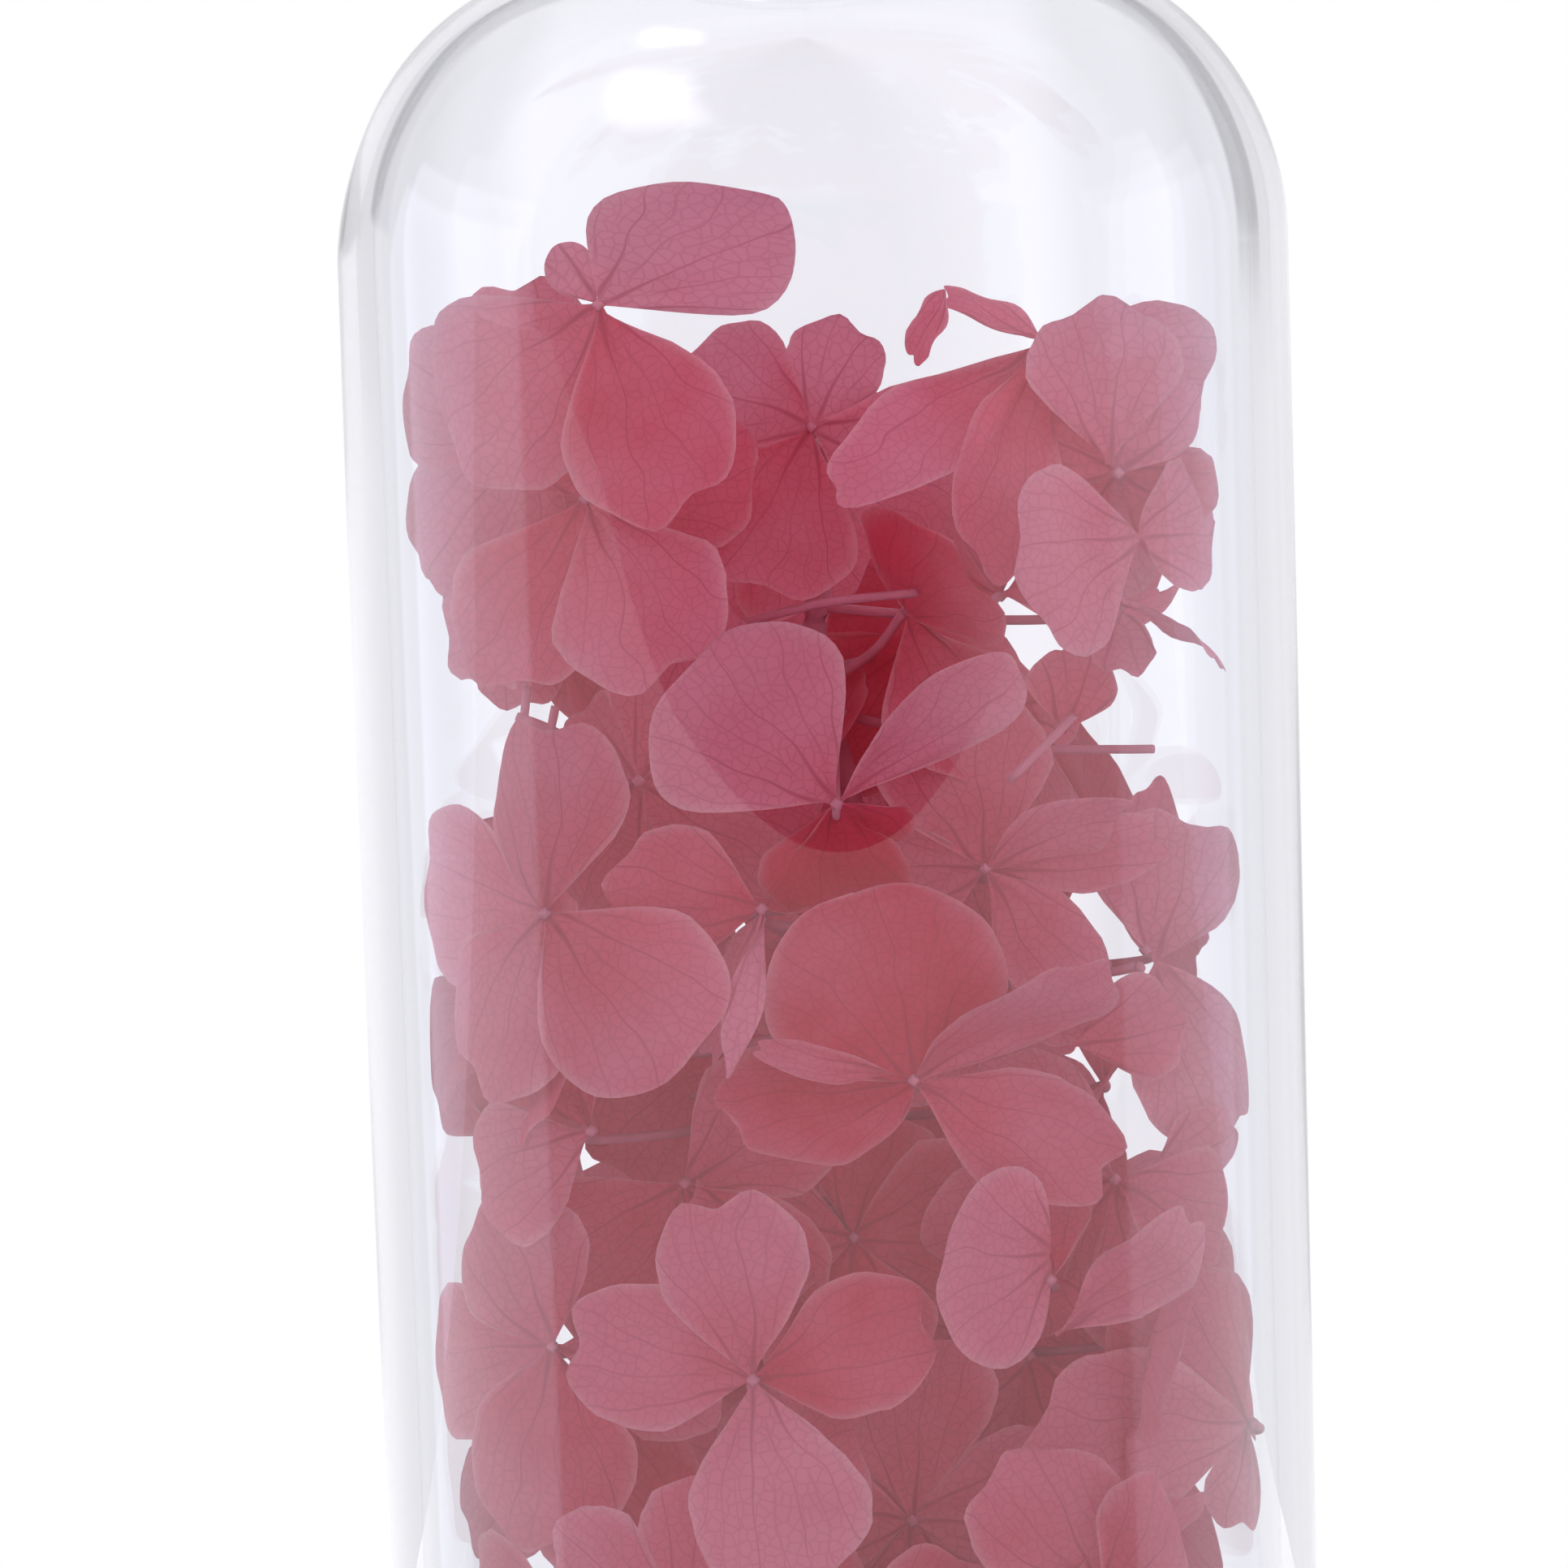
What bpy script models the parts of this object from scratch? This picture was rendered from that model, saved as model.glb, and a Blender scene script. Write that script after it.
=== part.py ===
"""Preserved pink hydrangea sprigs packed in a clear glass bottle.

The frame: +Z up, the origin in the middle of the foot, the side that is looked at faces -Y.
Lengths below are millimetres and angles degrees; the meshes are written in metres.
"""
import math
import random

import bmesh
import bpy
from mathutils import Matrix, Vector
from mathutils.bvhtree import BVHTree

MM = 0.001

# Bottle
BODY_RADIUS = 32.5
WALL = 2.2
SHOULDER_START = 118.0
SHOULDER_RADIUS = 20.0
NECK_RADIUS = 12.0
NECK_FILLET = 4.0
BORE_RADIUS = 9.4
NECK_TOP = 160.0
LIP_RADIUS = 14.4
LIP_HEIGHT = 7.0
LIP_ROUND = 2.4
FLOOR_HEIGHT = 6.0
FLOOR_ROUND = 5.0
HEEL_ROUND = 4.0
FOOT_INNER = 21.0
PUNT_DEPTH = 1.4
SEGMENTS = 36

# Flowers
SPRIGS = ("sprig_bottom", "sprig_low", "sprig_middle", "sprig_high", "sprig_top")
SPRIG_EDGES = (6.3, 34.5, 56.0, 77.6, 98.5, 117.0)
REST_GAP = 0.35
WALL_GAP = 0.8
BLADE = 0.7
STALK_RADIUS = 1.1
STALK_POINTS = 5
STALK_GAP = 2.0
PEDICEL_RADIUS = 0.5
HUB_RADIUS = 1.4
SEED = 7

# Rows of a blade between its root and its tip: share of the length, share of the half width
ROW_LOW = (0.38, 0.78)
ROW_HIGH = (0.70, 1.0)
TIP_SHARE = 0.44
# How far the sides of a blade rise over its midrib
CUP = 0.16
# Over these last millimetres before the glass, and before the floor, a petal bends along it
GLASS_EASE = 2.5
FLOOR_EASE = 1.5
# A stalk's wander to each side, and the ends of it that carry no pedicel
STALK_WANDER = 2.2
STALK_END = 1.2
# A pedicel comes up behind its floret: how far behind, and how far below
PEDICEL_BEHIND = 7.0
PEDICEL_BELOW = 2.0

# Florets seen from the front, each with its sprig, the x, y and z of its centre, and its petals.
# A petal is its angle anticlockwise from +X as seen from the front, its length and width, its lean
# towards the viewer and its twist about the midrib, then its bend and its slant.
FRONT_FLORETS = (
    ("sprig_top", -14.2, -12.0, 114.9, (
        (27, 13.4, 11.0, 8, 8, 10, 0.45),
        (150, 5.6, 4.6, -40, 0),
        (216, 14.6, 15.0, 10, 0, 25),
        (-70, 16.0, 11.6, 12, -8, 18, 0.12))),
    ("sprig_top", -18.6, -7.0, 106.5, (
        (100, 9.5, 9.0, -15, 0),
        (160, 10.5, 10.0, -10, 0),
        (238, 12.5, 12.6, 5, 0),
        (-50, 12.0, 11.0, -20, 0))),
    ("sprig_top", -0.4, -2.0, 105.4, (
        (142, 13.0, 12.0, 12, 0, 10),
        (68, 7.6, 8.0, -15, 0),
        (-20, 12.0, 11.0, -25, 0),
        (-115, 13.0, 12.0, -10, 0))),
    ("sprig_top", 15.2, -10.0, 111.5, (
        (219, 19.0, 11.0, 18, 38, 14),
        (247, 15.6, 9.0, 10, -66, 20),
        (-24, 10.6, 11.4, 8, 0, 12, -0.2),
        (160, 9.0, 5.0, -10, 80, -30))),
    ("sprig_top", -15.4, -14.0, 102.3, (
        (243, 13.0, 11.0, 0, 20),
        (-62, 14.4, 12.0, 10, 0),
        (120, 10.0, 10.0, -45, 0),
        (10, 12.0, 11.0, -40, 0))),
    ("sprig_top", 19.5, -13.0, 102.8, (
        (74, 7.5, 6.0, -30, 20),
        (160, 11.0, 10.0, -30, 0),
        (250, 12.0, 10.0, -35, 0),
        (-30, 8.0, 8.0, -60, 0))),
    ("sprig_high", 18.8, -15.0, 94.5, (
        (115, 12.4, 11.0, 22, -10),
        (55, 10.0, 8.6, 5, 0),
        (-22, 10.5, 5.4, 0, 72, 8),
        (-76, 6.6, 4.2, 0, 20))),
    ("sprig_high", 0.3, -24.0, 82.9, (
        (139, 14.2, 14.8, 4, 0, 14),
        (41, 15.2, 8.0, 10, 42, 10),
        (250, 12.0, 10.0, -58, 0),
        (-34, 13.0, 9.0, -50, 10))),
    ("sprig_high", 9.4, -10.0, 79.9, (
        (8, 10.4, 7.0, 5, 40),
        (-27, 13.0, 9.0, 0, 10),
        (100, 12.0, 12.0, -20, 0),
        (190, 12.0, 11.0, -25, 0))),
    ("sprig_high", -12.6, -14.0, 83.4, (
        (-32, 12.6, 12.0, 5, 0),
        (62, 13.0, 12.0, -15, 0),
        (140, 10.0, 9.0, -20, 0),
        (235, 11.0, 10.0, -25, 0))),
    ("sprig_high", -20.7, -4.0, 93.5, (
        (110, 11.0, 11.0, 0, 0),
        (175, 7.5, 10.0, -10, 0),
        (268, 8.0, 8.0, 5, 0),
        (-30, 13.0, 12.0, -10, 0))),
    ("sprig_high", -20.6, -8.0, 80.9, (
        (150, 6.6, 4.0, 0, 50),
        (240, 6.0, 6.0, 0, 0),
        (-20, 12.0, 11.0, -20, 0),
        (75, 8.0, 4.0, -30, 60))),
    ("sprig_middle", -18.6, -19.0, 75.5, (
        (-51, 14.4, 13.4, 8, 0, 16),
        (77, 12.8, 9.0, 0, 40),
        (175, 12.0, 12.0, -43, 0),
        (238, 13.0, 12.4, -28, 0))),
    ("sprig_middle", 20.9, -8.0, 69.9, (
        (60, 11.0, 10.0, 0, 0),
        (-56, 14.6, 8.4, 0, -25, 10),
        (93, 11.0, 4.0, -12, 0),
        (-112, 6.0, 5.0, -60, 0))),
    ("sprig_middle", 11.5, -6.0, 69.2, (
        (35, 8.5, 9.0, 0, 0),
        (-30, 10.0, 10.0, 0, 0),
        (125, 13.0, 12.0, 0, 0),
        (215, 13.0, 12.0, 0, 0))),
    ("sprig_middle", 4.8, -18.0, 63.3, (
        (104, 14.4, 16.0, 14, 0, 14),
        (28, 16.4, 8.6, 20, 48, 10),
        (230, 13.0, 15.6, 56, 0, 6),
        (-31, 14.4, 9.6, -18, 0))),
    ("sprig_middle", -4.7, -19.0, 75.3, (
        (258, 12.4, 7.0, 5, 72, 8),
        (170, 13.0, 13.0, -12, 0),
        (80, 9.0, 9.0, -60, 0),
        (-20, 9.0, 9.0, -60, 0))),
    ("sprig_middle", -16.3, -17.0, 60.4, (
        (205, 9.4, 10.0, 0, 0),
        (120, 10.0, 9.0, -20, 0),
        (-14, 13.0, 10.0, -10, 0),
        (-75, 12.0, 11.0, -15, 0))),
    ("sprig_low", 13.5, -16.0, 49.0, (
        (174, 10.4, 15.0, 40, 0, 6),
        (36, 13.4, 9.6, 8, 22),
        (-75, 9.0, 8.0, -70, 0),
        (105, 9.0, 8.0, -60, 0))),
    ("sprig_low", 27.6, -6.5, 36.3, (
        (178, 16.8, 13.0, 22, 0, 8),
        (124, 13.0, 12.0, 8, 0, 12),
        (262, 7.0, 6.0, 0, 0),
        (20, 5.0, 5.0, -70, 0))),
    ("sprig_low", -6.2, -26.0, 45.2, (
        (100, 12.4, 10.6, 4, 0, 12),
        (171, 12.4, 10.0, 2, 0, 14),
        (-82, 13.4, 12.2, 6, 0, 12),
        (9, 13.2, 9.6, -26, 0, 10))),
    ("sprig_low", -19.4, -15.0, 45.3, (
        (113, 10.6, 11.0, 0, 0),
        (192, 10.8, 11.0, -5, 0),
        (262, 13.0, 13.0, 0, 0),
        (-12, 12.0, 11.0, -15, 0))),
    ("sprig_low", 18.4, -9.0, 54.3, (
        (-20, 9.6, 9.0, 0, 0),
        (150, 12.0, 11.0, 0, 0),
        (-72, 13.0, 12.0, -8, 0),
        (210, 13.0, 12.0, -15, 0))),
    ("sprig_bottom", -11.1, -24.0, 28.6, (
        (72, 9.6, 10.0, 0, 0),
        (160, 12.0, 11.0, 0, 0),
        (250, 13.0, 12.0, 4, 0),
        (-20, 12.5, 11.0, 0, 0))),
    ("sprig_bottom", 16.1, -19.0, 27.7, (
        (120, 11.5, 10.5, 0, 0),
        (48, 11.0, 10.5, 0, 0),
        (-40, 12.5, 12.0, 0, 0),
        (220, 13.0, 12.0, 4, 0))),
    ("sprig_low", -10.6, -9.0, 55.0, (
        (35, 11.5, 11.0, -5, 0),
        (125, 11.0, 11.0, -10, 0),
        (215, 12.0, 11.0, 0, 0),
        (-55, 12.0, 11.0, 0, 0))),
    ("sprig_low", 12.5, -6.0, 41.5, (
        (20, 12.0, 11.0, -10, 0),
        (110, 12.0, 11.0, 0, 0),
        (200, 12.0, 11.0, 0, 0),
        (-70, 12.0, 11.0, -5, 0))),
    ("sprig_bottom", 4.0, -11.0, 31.5, (
        (90, 13.0, 12.0, -6, 0),
        (5, 12.0, 11.0, -10, 0),
        (178, 12.0, 11.0, 0, 0),
        (-88, 11.0, 10.0, -20, 0))),
)

# Bare pedicels whose floret has broken off: sprig, then the x, y and z of their two ends
BARE_PEDICELS = (
    ("sprig_high", (5.0, -2.0, 82.0), (21.6, -10.0, 83.9)),
    ("sprig_high", (-19.8, -11.0, 89.5), (-20.4, -14.0, 82.5)),
    ("sprig_high", (-7.5, -8.0, 92.4), (6.3, -10.0, 94.9)),
)

# Where one sees through the flowers from the front: the x and z of the line of sight where it
# passes the axis, and the radius that stays clear
EYE = Vector((-3.1, -430.9, 141.4))
SIGHT_LINES = (
    (18.2, 71.4, 1.2), (19.9, 67.8, 1.2), (20.3, 58.4, 0.9), (21.7, 55.7, 0.9), (-19.5, 85.9, 1.0),
    (-14.2, 55.8, 0.5), (14.8, 89.9, 0.5), (15.8, 40.9, 0.5), (-24.3, 83.2, 1.8), (-25.6, 86.4, 1.5),
    (21.4, 85.0, 2.2), (25.8, 82.0, 2.6), (-26.6, 56.5, 1.2), (27.6, 52.7, 1.0),
)

# Florets that fill the rest of the bottle: a spiral just inside the glass and a core behind it
SPIRAL_COUNT = 42
SPIRAL_BOTTOM = 15.0
SPIRAL_TOP = 100.0
SPIRAL_RADIUS = 21.5
FRONT_SECTOR = 62.0
FRONT_SECTOR_BOTTOM = 30.0
CORE_COUNT = 6
CORE_RADIUS = 8.0
GOLDEN_ANGLE = 137.508

# The mass of flowers is narrower where two sprigs meet: height, radius lost, half height; the
# centre of a filling floret takes a share of it
WAISTS = ((85.0, 9.5, 6.0), (56.0, 3.5, 4.0))
WAIST_SHARE = 0.8

# Leans that a petal tries, in turn, until it is clear of the other sprigs
LEAN_TRIES = (0, 9, -9, 18, -18, 28, -28, 40, -40)
SMALLER = 0.75


def material(name, colour, roughness, transmission=0.0):
    mat = bpy.data.materials.new(name)
    mat.use_nodes = True
    mat.diffuse_color = (*colour, 1.0)
    shader = mat.node_tree.nodes["Principled BSDF"]
    shader.inputs["Base Color"].default_value = (*colour, 1.0)
    shader.inputs["Roughness"].default_value = roughness
    shader.inputs["Metallic"].default_value = 0.0
    shader.inputs["Transmission Weight"].default_value = transmission
    return mat


def mesh_object(name, bm, mat=None):
    mesh = bpy.data.meshes.new(name)
    bm.to_mesh(mesh)
    bm.free()
    obj = bpy.data.objects.new(name, mesh)
    if mat:
        mesh.materials.append(mat)
    bpy.context.scene.collection.objects.link(obj)
    return obj


def arc(centre_r, centre_z, radius, start, end, steps):
    """Points of a profile's round corner, from the start angle to the end angle."""
    turns = [math.radians(start + (end - start) * i / steps) for i in range(steps + 1)]
    return [(centre_r + radius * math.cos(t), centre_z + radius * math.sin(t)) for t in turns]


def bottle_profile():
    """The glass from the middle of the foot, up the outside, over the lip and down the inside."""
    shoulder_r = BODY_RADIUS - SHOULDER_RADIUS
    top = SHOULDER_START + SHOULDER_RADIUS
    lip_top = NECK_TOP + LIP_HEIGHT
    inner = BODY_RADIUS - WALL
    # the neck leaves the shoulder in a fillet that touches both
    fillet_r = NECK_RADIUS + NECK_FILLET
    reach = SHOULDER_RADIUS + NECK_FILLET
    lean = math.degrees(math.acos((fillet_r - shoulder_r) / reach))
    fillet_z = SHOULDER_START + reach * math.sin(math.radians(lean))
    outside = [(0.0, PUNT_DEPTH), (FOOT_INNER * 0.72, PUNT_DEPTH * 0.8), (FOOT_INNER, 0.0)]
    outside += arc(BODY_RADIUS - HEEL_ROUND, HEEL_ROUND, HEEL_ROUND, -90, 0, 3)
    outside += arc(shoulder_r, SHOULDER_START, SHOULDER_RADIUS, 0, lean, 7)
    outside += arc(fillet_r, fillet_z, NECK_FILLET, 180 + lean, 180, 2)[1:]
    outside += [(NECK_RADIUS, NECK_TOP), (LIP_RADIUS - LIP_ROUND, NECK_TOP)]
    outside += arc(LIP_RADIUS - LIP_ROUND, NECK_TOP + LIP_ROUND, LIP_ROUND, -45, 0, 1)
    outside += arc(LIP_RADIUS - LIP_ROUND, lip_top - LIP_ROUND, LIP_ROUND, 0, 90, 2)
    inside = arc(BORE_RADIUS + 1.0, lip_top - 1.0, 1.0, 90, 180, 1)
    hollow = SHOULDER_RADIUS - WALL
    bend = math.degrees(math.acos((BORE_RADIUS + 2.0 - shoulder_r) / (hollow + 2.0)))
    bend_z = SHOULDER_START + (hollow + 2.0) * math.sin(math.radians(bend))
    inside += arc(BORE_RADIUS + 2.0, bend_z, 2.0, 180, 180 + bend, 1)
    inside += arc(shoulder_r, SHOULDER_START, hollow, bend, 0, 6)[1:]
    inside += arc(inner - FLOOR_ROUND, FLOOR_HEIGHT + FLOOR_ROUND, FLOOR_ROUND, 0, -90, 3)
    inside += [(0.0, FLOOR_HEIGHT)]
    return outside + inside


def make_bottle(mat):
    bm = bmesh.new()
    points = [bm.verts.new((r * MM, 0.0, z * MM)) for r, z in bottle_profile()]
    edges = [bm.edges.new(pair) for pair in zip(points, points[1:])]
    bmesh.ops.spin(bm, geom=points + edges, cent=(0, 0, 0), axis=(0, 0, 1),
                   angle=math.tau, steps=SEGMENTS, use_merge=True)
    bmesh.ops.remove_doubles(bm, verts=bm.verts, dist=0.005 * MM)
    bmesh.ops.triangulate(bm, faces=[f for f in bm.faces if len(f.verts) > 4])
    bmesh.ops.recalc_face_normals(bm, faces=bm.faces)
    obj = mesh_object("bottle", bm, mat)
    obj.data.shade_smooth()
    obj.data.set_sharp_from_angle(angle=math.radians(50))
    return obj


def sprig_of(z):
    for name, low, high in zip(SPRIGS, SPRIG_EDGES, SPRIG_EDGES[1:]):
        if z < high:
            return name
    return SPRIGS[-1]


def waist(z):
    """How far the mass of flowers draws in at this height."""
    return sum(depth * math.exp(-((z - level) / half) ** 2) for level, depth, half in WAISTS)


def soft_limit(value, limit, ease):
    """The value itself below limit - ease, then ever closer to the limit."""
    start = limit - ease
    if value <= start:
        return value
    return limit - ease * math.exp(-(value - start) / ease)


def hold_inside(point, drawn_in):
    """Press a point of a petal against the glass and the floor, and draw a loose one in."""
    radius = math.hypot(point.x, point.y)
    reach = BODY_RADIUS - WALL - WALL_GAP - BLADE / 2 - drawn_in * waist(point.z)
    held = soft_limit(radius, reach, GLASS_EASE)
    scale = held / radius if radius > 1e-6 else 1.0
    low = FLOOR_HEIGHT + REST_GAP + BLADE / 2
    z = -soft_limit(-point.z, -low, FLOOR_EASE)
    return Vector((point.x * scale, point.y * scale, z))


def make_petal(root, right, up, face, angle, length, width, lean, twist,
               bend=12.0, slant=0.0, drawn_in=0.0):
    """The frame and the sizes of one petal; angle and lean are taken in the floret's own frame."""
    turn = math.radians(angle)
    tip = math.radians(lean)
    outward = right * math.cos(turn) + up * math.sin(turn)
    along = outward * math.cos(tip) + face * math.sin(tip)
    normal = face * math.cos(tip) - outward * math.sin(tip)
    normal.rotate(Matrix.Rotation(math.radians(twist), 3, along))
    return {"root": root, "along": along, "across": normal.cross(along), "normal": normal,
            "length": length, "width": width, "bend": math.radians(bend), "slant": slant,
            "drawn_in": drawn_in}


def petal_point(petal, u, v):
    """A point of the middle surface: u runs from root to tip, v across, in half widths."""
    side = v * petal["width"] / 2
    run = u * petal["length"] - petal["slant"] * side
    curve = petal["bend"] / petal["length"]
    turn = curve * run
    forward = math.sin(turn) / curve if abs(curve) > 1e-6 else run
    rise = (1 - math.cos(turn)) / curve if abs(curve) > 1e-6 else 0.0
    rise += CUP * side * side / petal["width"]
    point = petal["root"] + petal["along"] * forward + petal["across"] * side
    return hold_inside(point + petal["normal"] * rise, petal["drawn_in"])


def petal_normal(petal, u, v):
    step = 0.05
    du = petal_point(petal, u + step, v) - petal_point(petal, u - step, v)
    dv = petal_point(petal, u, v + step) - petal_point(petal, u, v - step)
    return du.cross(dv).normalized()


def blade_mesh(petal):
    """A closed blade: a root point, then rows of two, three and two points, alike on both faces."""
    points = [(0.0, 0.0), (ROW_LOW[0], -ROW_LOW[1]), (ROW_LOW[0], ROW_LOW[1]),
              (ROW_HIGH[0], -ROW_HIGH[1]), (ROW_HIGH[0], 0.0), (ROW_HIGH[0], ROW_HIGH[1]),
              (1.0, -TIP_SHARE), (1.0, TIP_SHARE)]
    skin = [(0, 1, 2), (1, 3, 4), (1, 4, 2), (2, 4, 5), (3, 6, 4), (4, 6, 7), (4, 7, 5)]
    rim = [1, 3, 6, 7, 5, 2]
    solid = [petal_point(petal, 0.0, 0.0)]
    count = len(points) - 1
    for side in (1, -1):
        for u, v in points[1:]:
            solid.append(petal_point(petal, u, v) + petal_normal(petal, u, v) * side * BLADE / 2)
    below = [0] + [number + count for number in range(1, len(points))]
    faces = list(skin)
    faces += [(below[a], below[c], below[b]) for a, b, c in skin]
    for a, b in zip(rim, rim[1:]):
        faces += [(a, below[b], b), (a, below[a], below[b])]
    faces += [(0, below[1], 1), (0, 2, below[2])]
    return solid, faces


def tube_mesh(path, radii, sides):
    """A closed tube of straight lengths round a path, with a radius at each of its points."""
    points = []
    faces = []
    for i, place in enumerate(path):
        before = path[max(i - 1, 0)]
        after = path[min(i + 1, len(path) - 1)]
        frame = (after - before).to_track_quat("Z", "Y")
        size = radii[i]
        for k in range(sides):
            turn = math.tau * k / sides
            points.append(place + frame @ Vector((size * math.cos(turn), size * math.sin(turn), 0)))
    for i in range(len(path) - 1):
        for k in range(sides):
            a = i * sides + k
            b = i * sides + (k + 1) % sides
            faces += [(a, b, b + sides), (a, b + sides, a + sides)]
    last = (len(path) - 1) * sides
    for k in range(1, sides - 1):
        faces.append((0, k + 1, k))
        faces.append((last, last + k, last + k + 1))
    return points, faces


def front_florets():
    florets = []
    for sprig, x, y, z, petals in FRONT_FLORETS:
        florets.append({"sprig": sprig, "centre": Vector((x, y, z)), "right": Vector((1, 0, 0)),
                        "up": Vector((0, 0, 1)), "face": Vector((0, -1, 0)), "petals": petals})
    return florets


def filler(draw, z, azimuth, radius, nod):
    """A floret that faces out from the axis, its four petals drawn at random."""
    out = Vector((math.cos(azimuth), math.sin(azimuth), 0))
    right = Vector((0, 0, 1)).cross(out)
    face = (out + Vector((0, 0, nod))).normalized()
    up = face.cross(right)
    spin = draw.uniform(0, 90)
    petals = []
    for k in range(4):
        petals.append((spin + 90 * k + draw.uniform(-12, 12), draw.uniform(11.0, 14.5),
                       draw.uniform(10.0, 14.0), draw.uniform(-22, 14), draw.uniform(-28, 28),
                       draw.uniform(4, 26), draw.uniform(-0.15, 0.15), 1.0))
    centre = out * (radius - waist(z) * WAIST_SHARE) + Vector((0, 0, z))
    return {"sprig": sprig_of(z), "centre": centre, "right": right, "up": up, "face": face,
            "petals": petals}


def filler_florets(draw):
    florets = []
    for i in range(SPIRAL_COUNT):
        z = SPIRAL_BOTTOM + (SPIRAL_TOP - SPIRAL_BOTTOM) * i / (SPIRAL_COUNT - 1)
        azimuth = math.radians(GOLDEN_ANGLE * i)
        radius = SPIRAL_RADIUS + draw.uniform(-1.5, 1.5)
        nod = draw.uniform(-0.3, 0.5)
        floret = filler(draw, z, azimuth, radius, nod)
        from_front = math.degrees(math.acos(-math.sin(azimuth)))
        if from_front > FRONT_SECTOR or z < FRONT_SECTOR_BOTTOM:
            florets.append(floret)
    for i in range(CORE_COUNT):
        z = SPIRAL_BOTTOM + (SPIRAL_TOP - SPIRAL_BOTTOM) * (i + 0.5) / CORE_COUNT
        azimuth = math.radians(GOLDEN_ANGLE * i)
        florets.append(filler(draw, z, azimuth, CORE_RADIUS, draw.uniform(0.2, 0.8)))
    return florets


def spread_branchings(florets, stalks):
    """Give each floret of a sprig its own height on the stalk, the lowest floret the lowest one."""
    for name in SPRIGS:
        low = stalks[name][0].z + STALK_END
        high = stalks[name][-1].z - STALK_END
        own = sorted((f for f in florets if f["sprig"] == name), key=lambda f: f["centre"].z)
        for order, floret in enumerate(own):
            floret["branching"] = low + (high - low) * order / len(own)


def stalk_path(name, draw):
    """A sprig's stalk wanders up the middle of its part of the bottle."""
    index = SPRIGS.index(name)
    low = SPRIG_EDGES[index]
    high = SPRIG_EDGES[index + 1] - STALK_GAP
    path = []
    for i in range(STALK_POINTS):
        z = low + (high - low) * i / (STALK_POINTS - 1)
        side = draw.uniform(-STALK_WANDER, STALK_WANDER)
        path.append(Vector((side, draw.uniform(-STALK_WANDER, STALK_WANDER), z)))
    return path


def path_at(path, z):
    for a, b in zip(path, path[1:]):
        if z <= b.z:
            return a.lerp(b, max(0.0, (z - a.z) / (b.z - a.z)))
    return path[-1].copy()


def pedicel_mesh(floret, stalk):
    """From the stalk to the back of the floret, ending in the hub that the petals grow from."""
    centre = floret["centre"]
    face = floret["face"]
    start = path_at(stalk, floret["branching"])
    bend = centre - face * PEDICEL_BEHIND - Vector((0, 0, PEDICEL_BELOW))
    middle = start.lerp(bend, 0.6).lerp(bend.lerp(centre, 0.6), 0.6)
    path = [start, middle, centre - face * HUB_RADIUS, centre + face * HUB_RADIUS * 0.6]
    radii = [PEDICEL_RADIUS, PEDICEL_RADIUS, HUB_RADIUS, HUB_RADIUS * 0.8]
    return tube_mesh(path, radii, 3)


def box_of(solid):
    points = solid[0]
    low = [min(p[k] for p in points) for k in range(3)]
    high = [max(p[k] for p in points) for k in range(3)]
    return low, high


def rootless(solid):
    """The tree of a solid without the faces at its first point, where a petal is rooted."""
    points, faces = solid
    return BVHTree.FromPolygons(points, [face for face in faces if 0 not in face])


class Clearance:
    """The solids laid so far, each with its box, its trees and its owner: a sprig and a floret."""

    def __init__(self):
        self.laid = []

    def add(self, solid, owner):
        self.laid.append((box_of(solid), BVHTree.FromPolygons(*solid), rootless(solid), owner))

    def crossed(self, solid, owner):
        """The sprigs that a petal would cut through; petals of one floret may meet at their roots."""
        low, high = box_of(solid)
        whole = BVHTree.FromPolygons(*solid)
        free = rootless(solid)
        found = set()
        for (other_low, other_high), other, other_free, other_owner in self.laid:
            if any(low[k] > other_high[k] or high[k] < other_low[k] for k in range(3)):
                continue
            same = other_owner == owner
            if (free if same else whole).overlap(other_free if same else other):
                found.add(other_owner[0])
        return found


def thicker(petal_solid, extra):
    """The blade swollen a little, so that a petal that passes keeps a gap."""
    points, faces = petal_solid
    half = len(points) // 2
    above = []
    below = []
    for high, low in zip(points[1:half + 1], points[half + 1:]):
        push = (high - low).normalized() * extra
        above.append(high + push)
        below.append(low - push)
    return points[:1] + above + below, faces


def lay_petal(floret, spec, clearance):
    """The petal as drawn, or leant, shortened or left out until it is clear of other sprigs."""
    angle, length, width, lean, twist = spec[:5]
    owner = (floret["sprig"], floret["number"])
    through_own = None
    for scale in (1.0, SMALLER):
        for offset in LEAN_TRIES:
            petal = make_petal(floret["centre"], floret["right"], floret["up"], floret["face"], angle,
                               length * scale, width * scale, lean + offset, twist, *spec[5:])
            solid = blade_mesh(petal)
            crossed = clearance.crossed(thicker(solid, REST_GAP), owner)
            if not crossed:
                return solid
            if crossed == {owner[0]} and not through_own:
                through_own = solid
    return through_own


def solid_object(name, solid, collection):
    points, faces = solid
    mesh = bpy.data.meshes.new(name)
    mesh.from_pydata([p * MM for p in points], [], faces)
    obj = bpy.data.objects.new(name, mesh)
    collection.objects.link(obj)
    return obj


def largest_body(bm):
    """Drop the scraps that hang on nothing."""
    groups = []
    left = set(bm.verts)
    while left:
        start = left.pop()
        group = {start}
        edge = [start]
        while edge:
            vert = edge.pop()
            for link in vert.link_edges:
                other = link.other_vert(vert)
                if other not in group:
                    group.add(other)
                    edge.append(other)
        left -= group
        groups.append(group)
    groups.sort(key=len)
    bmesh.ops.delete(bm, geom=[v for group in groups[:-1] for v in group], context="VERTS")


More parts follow.
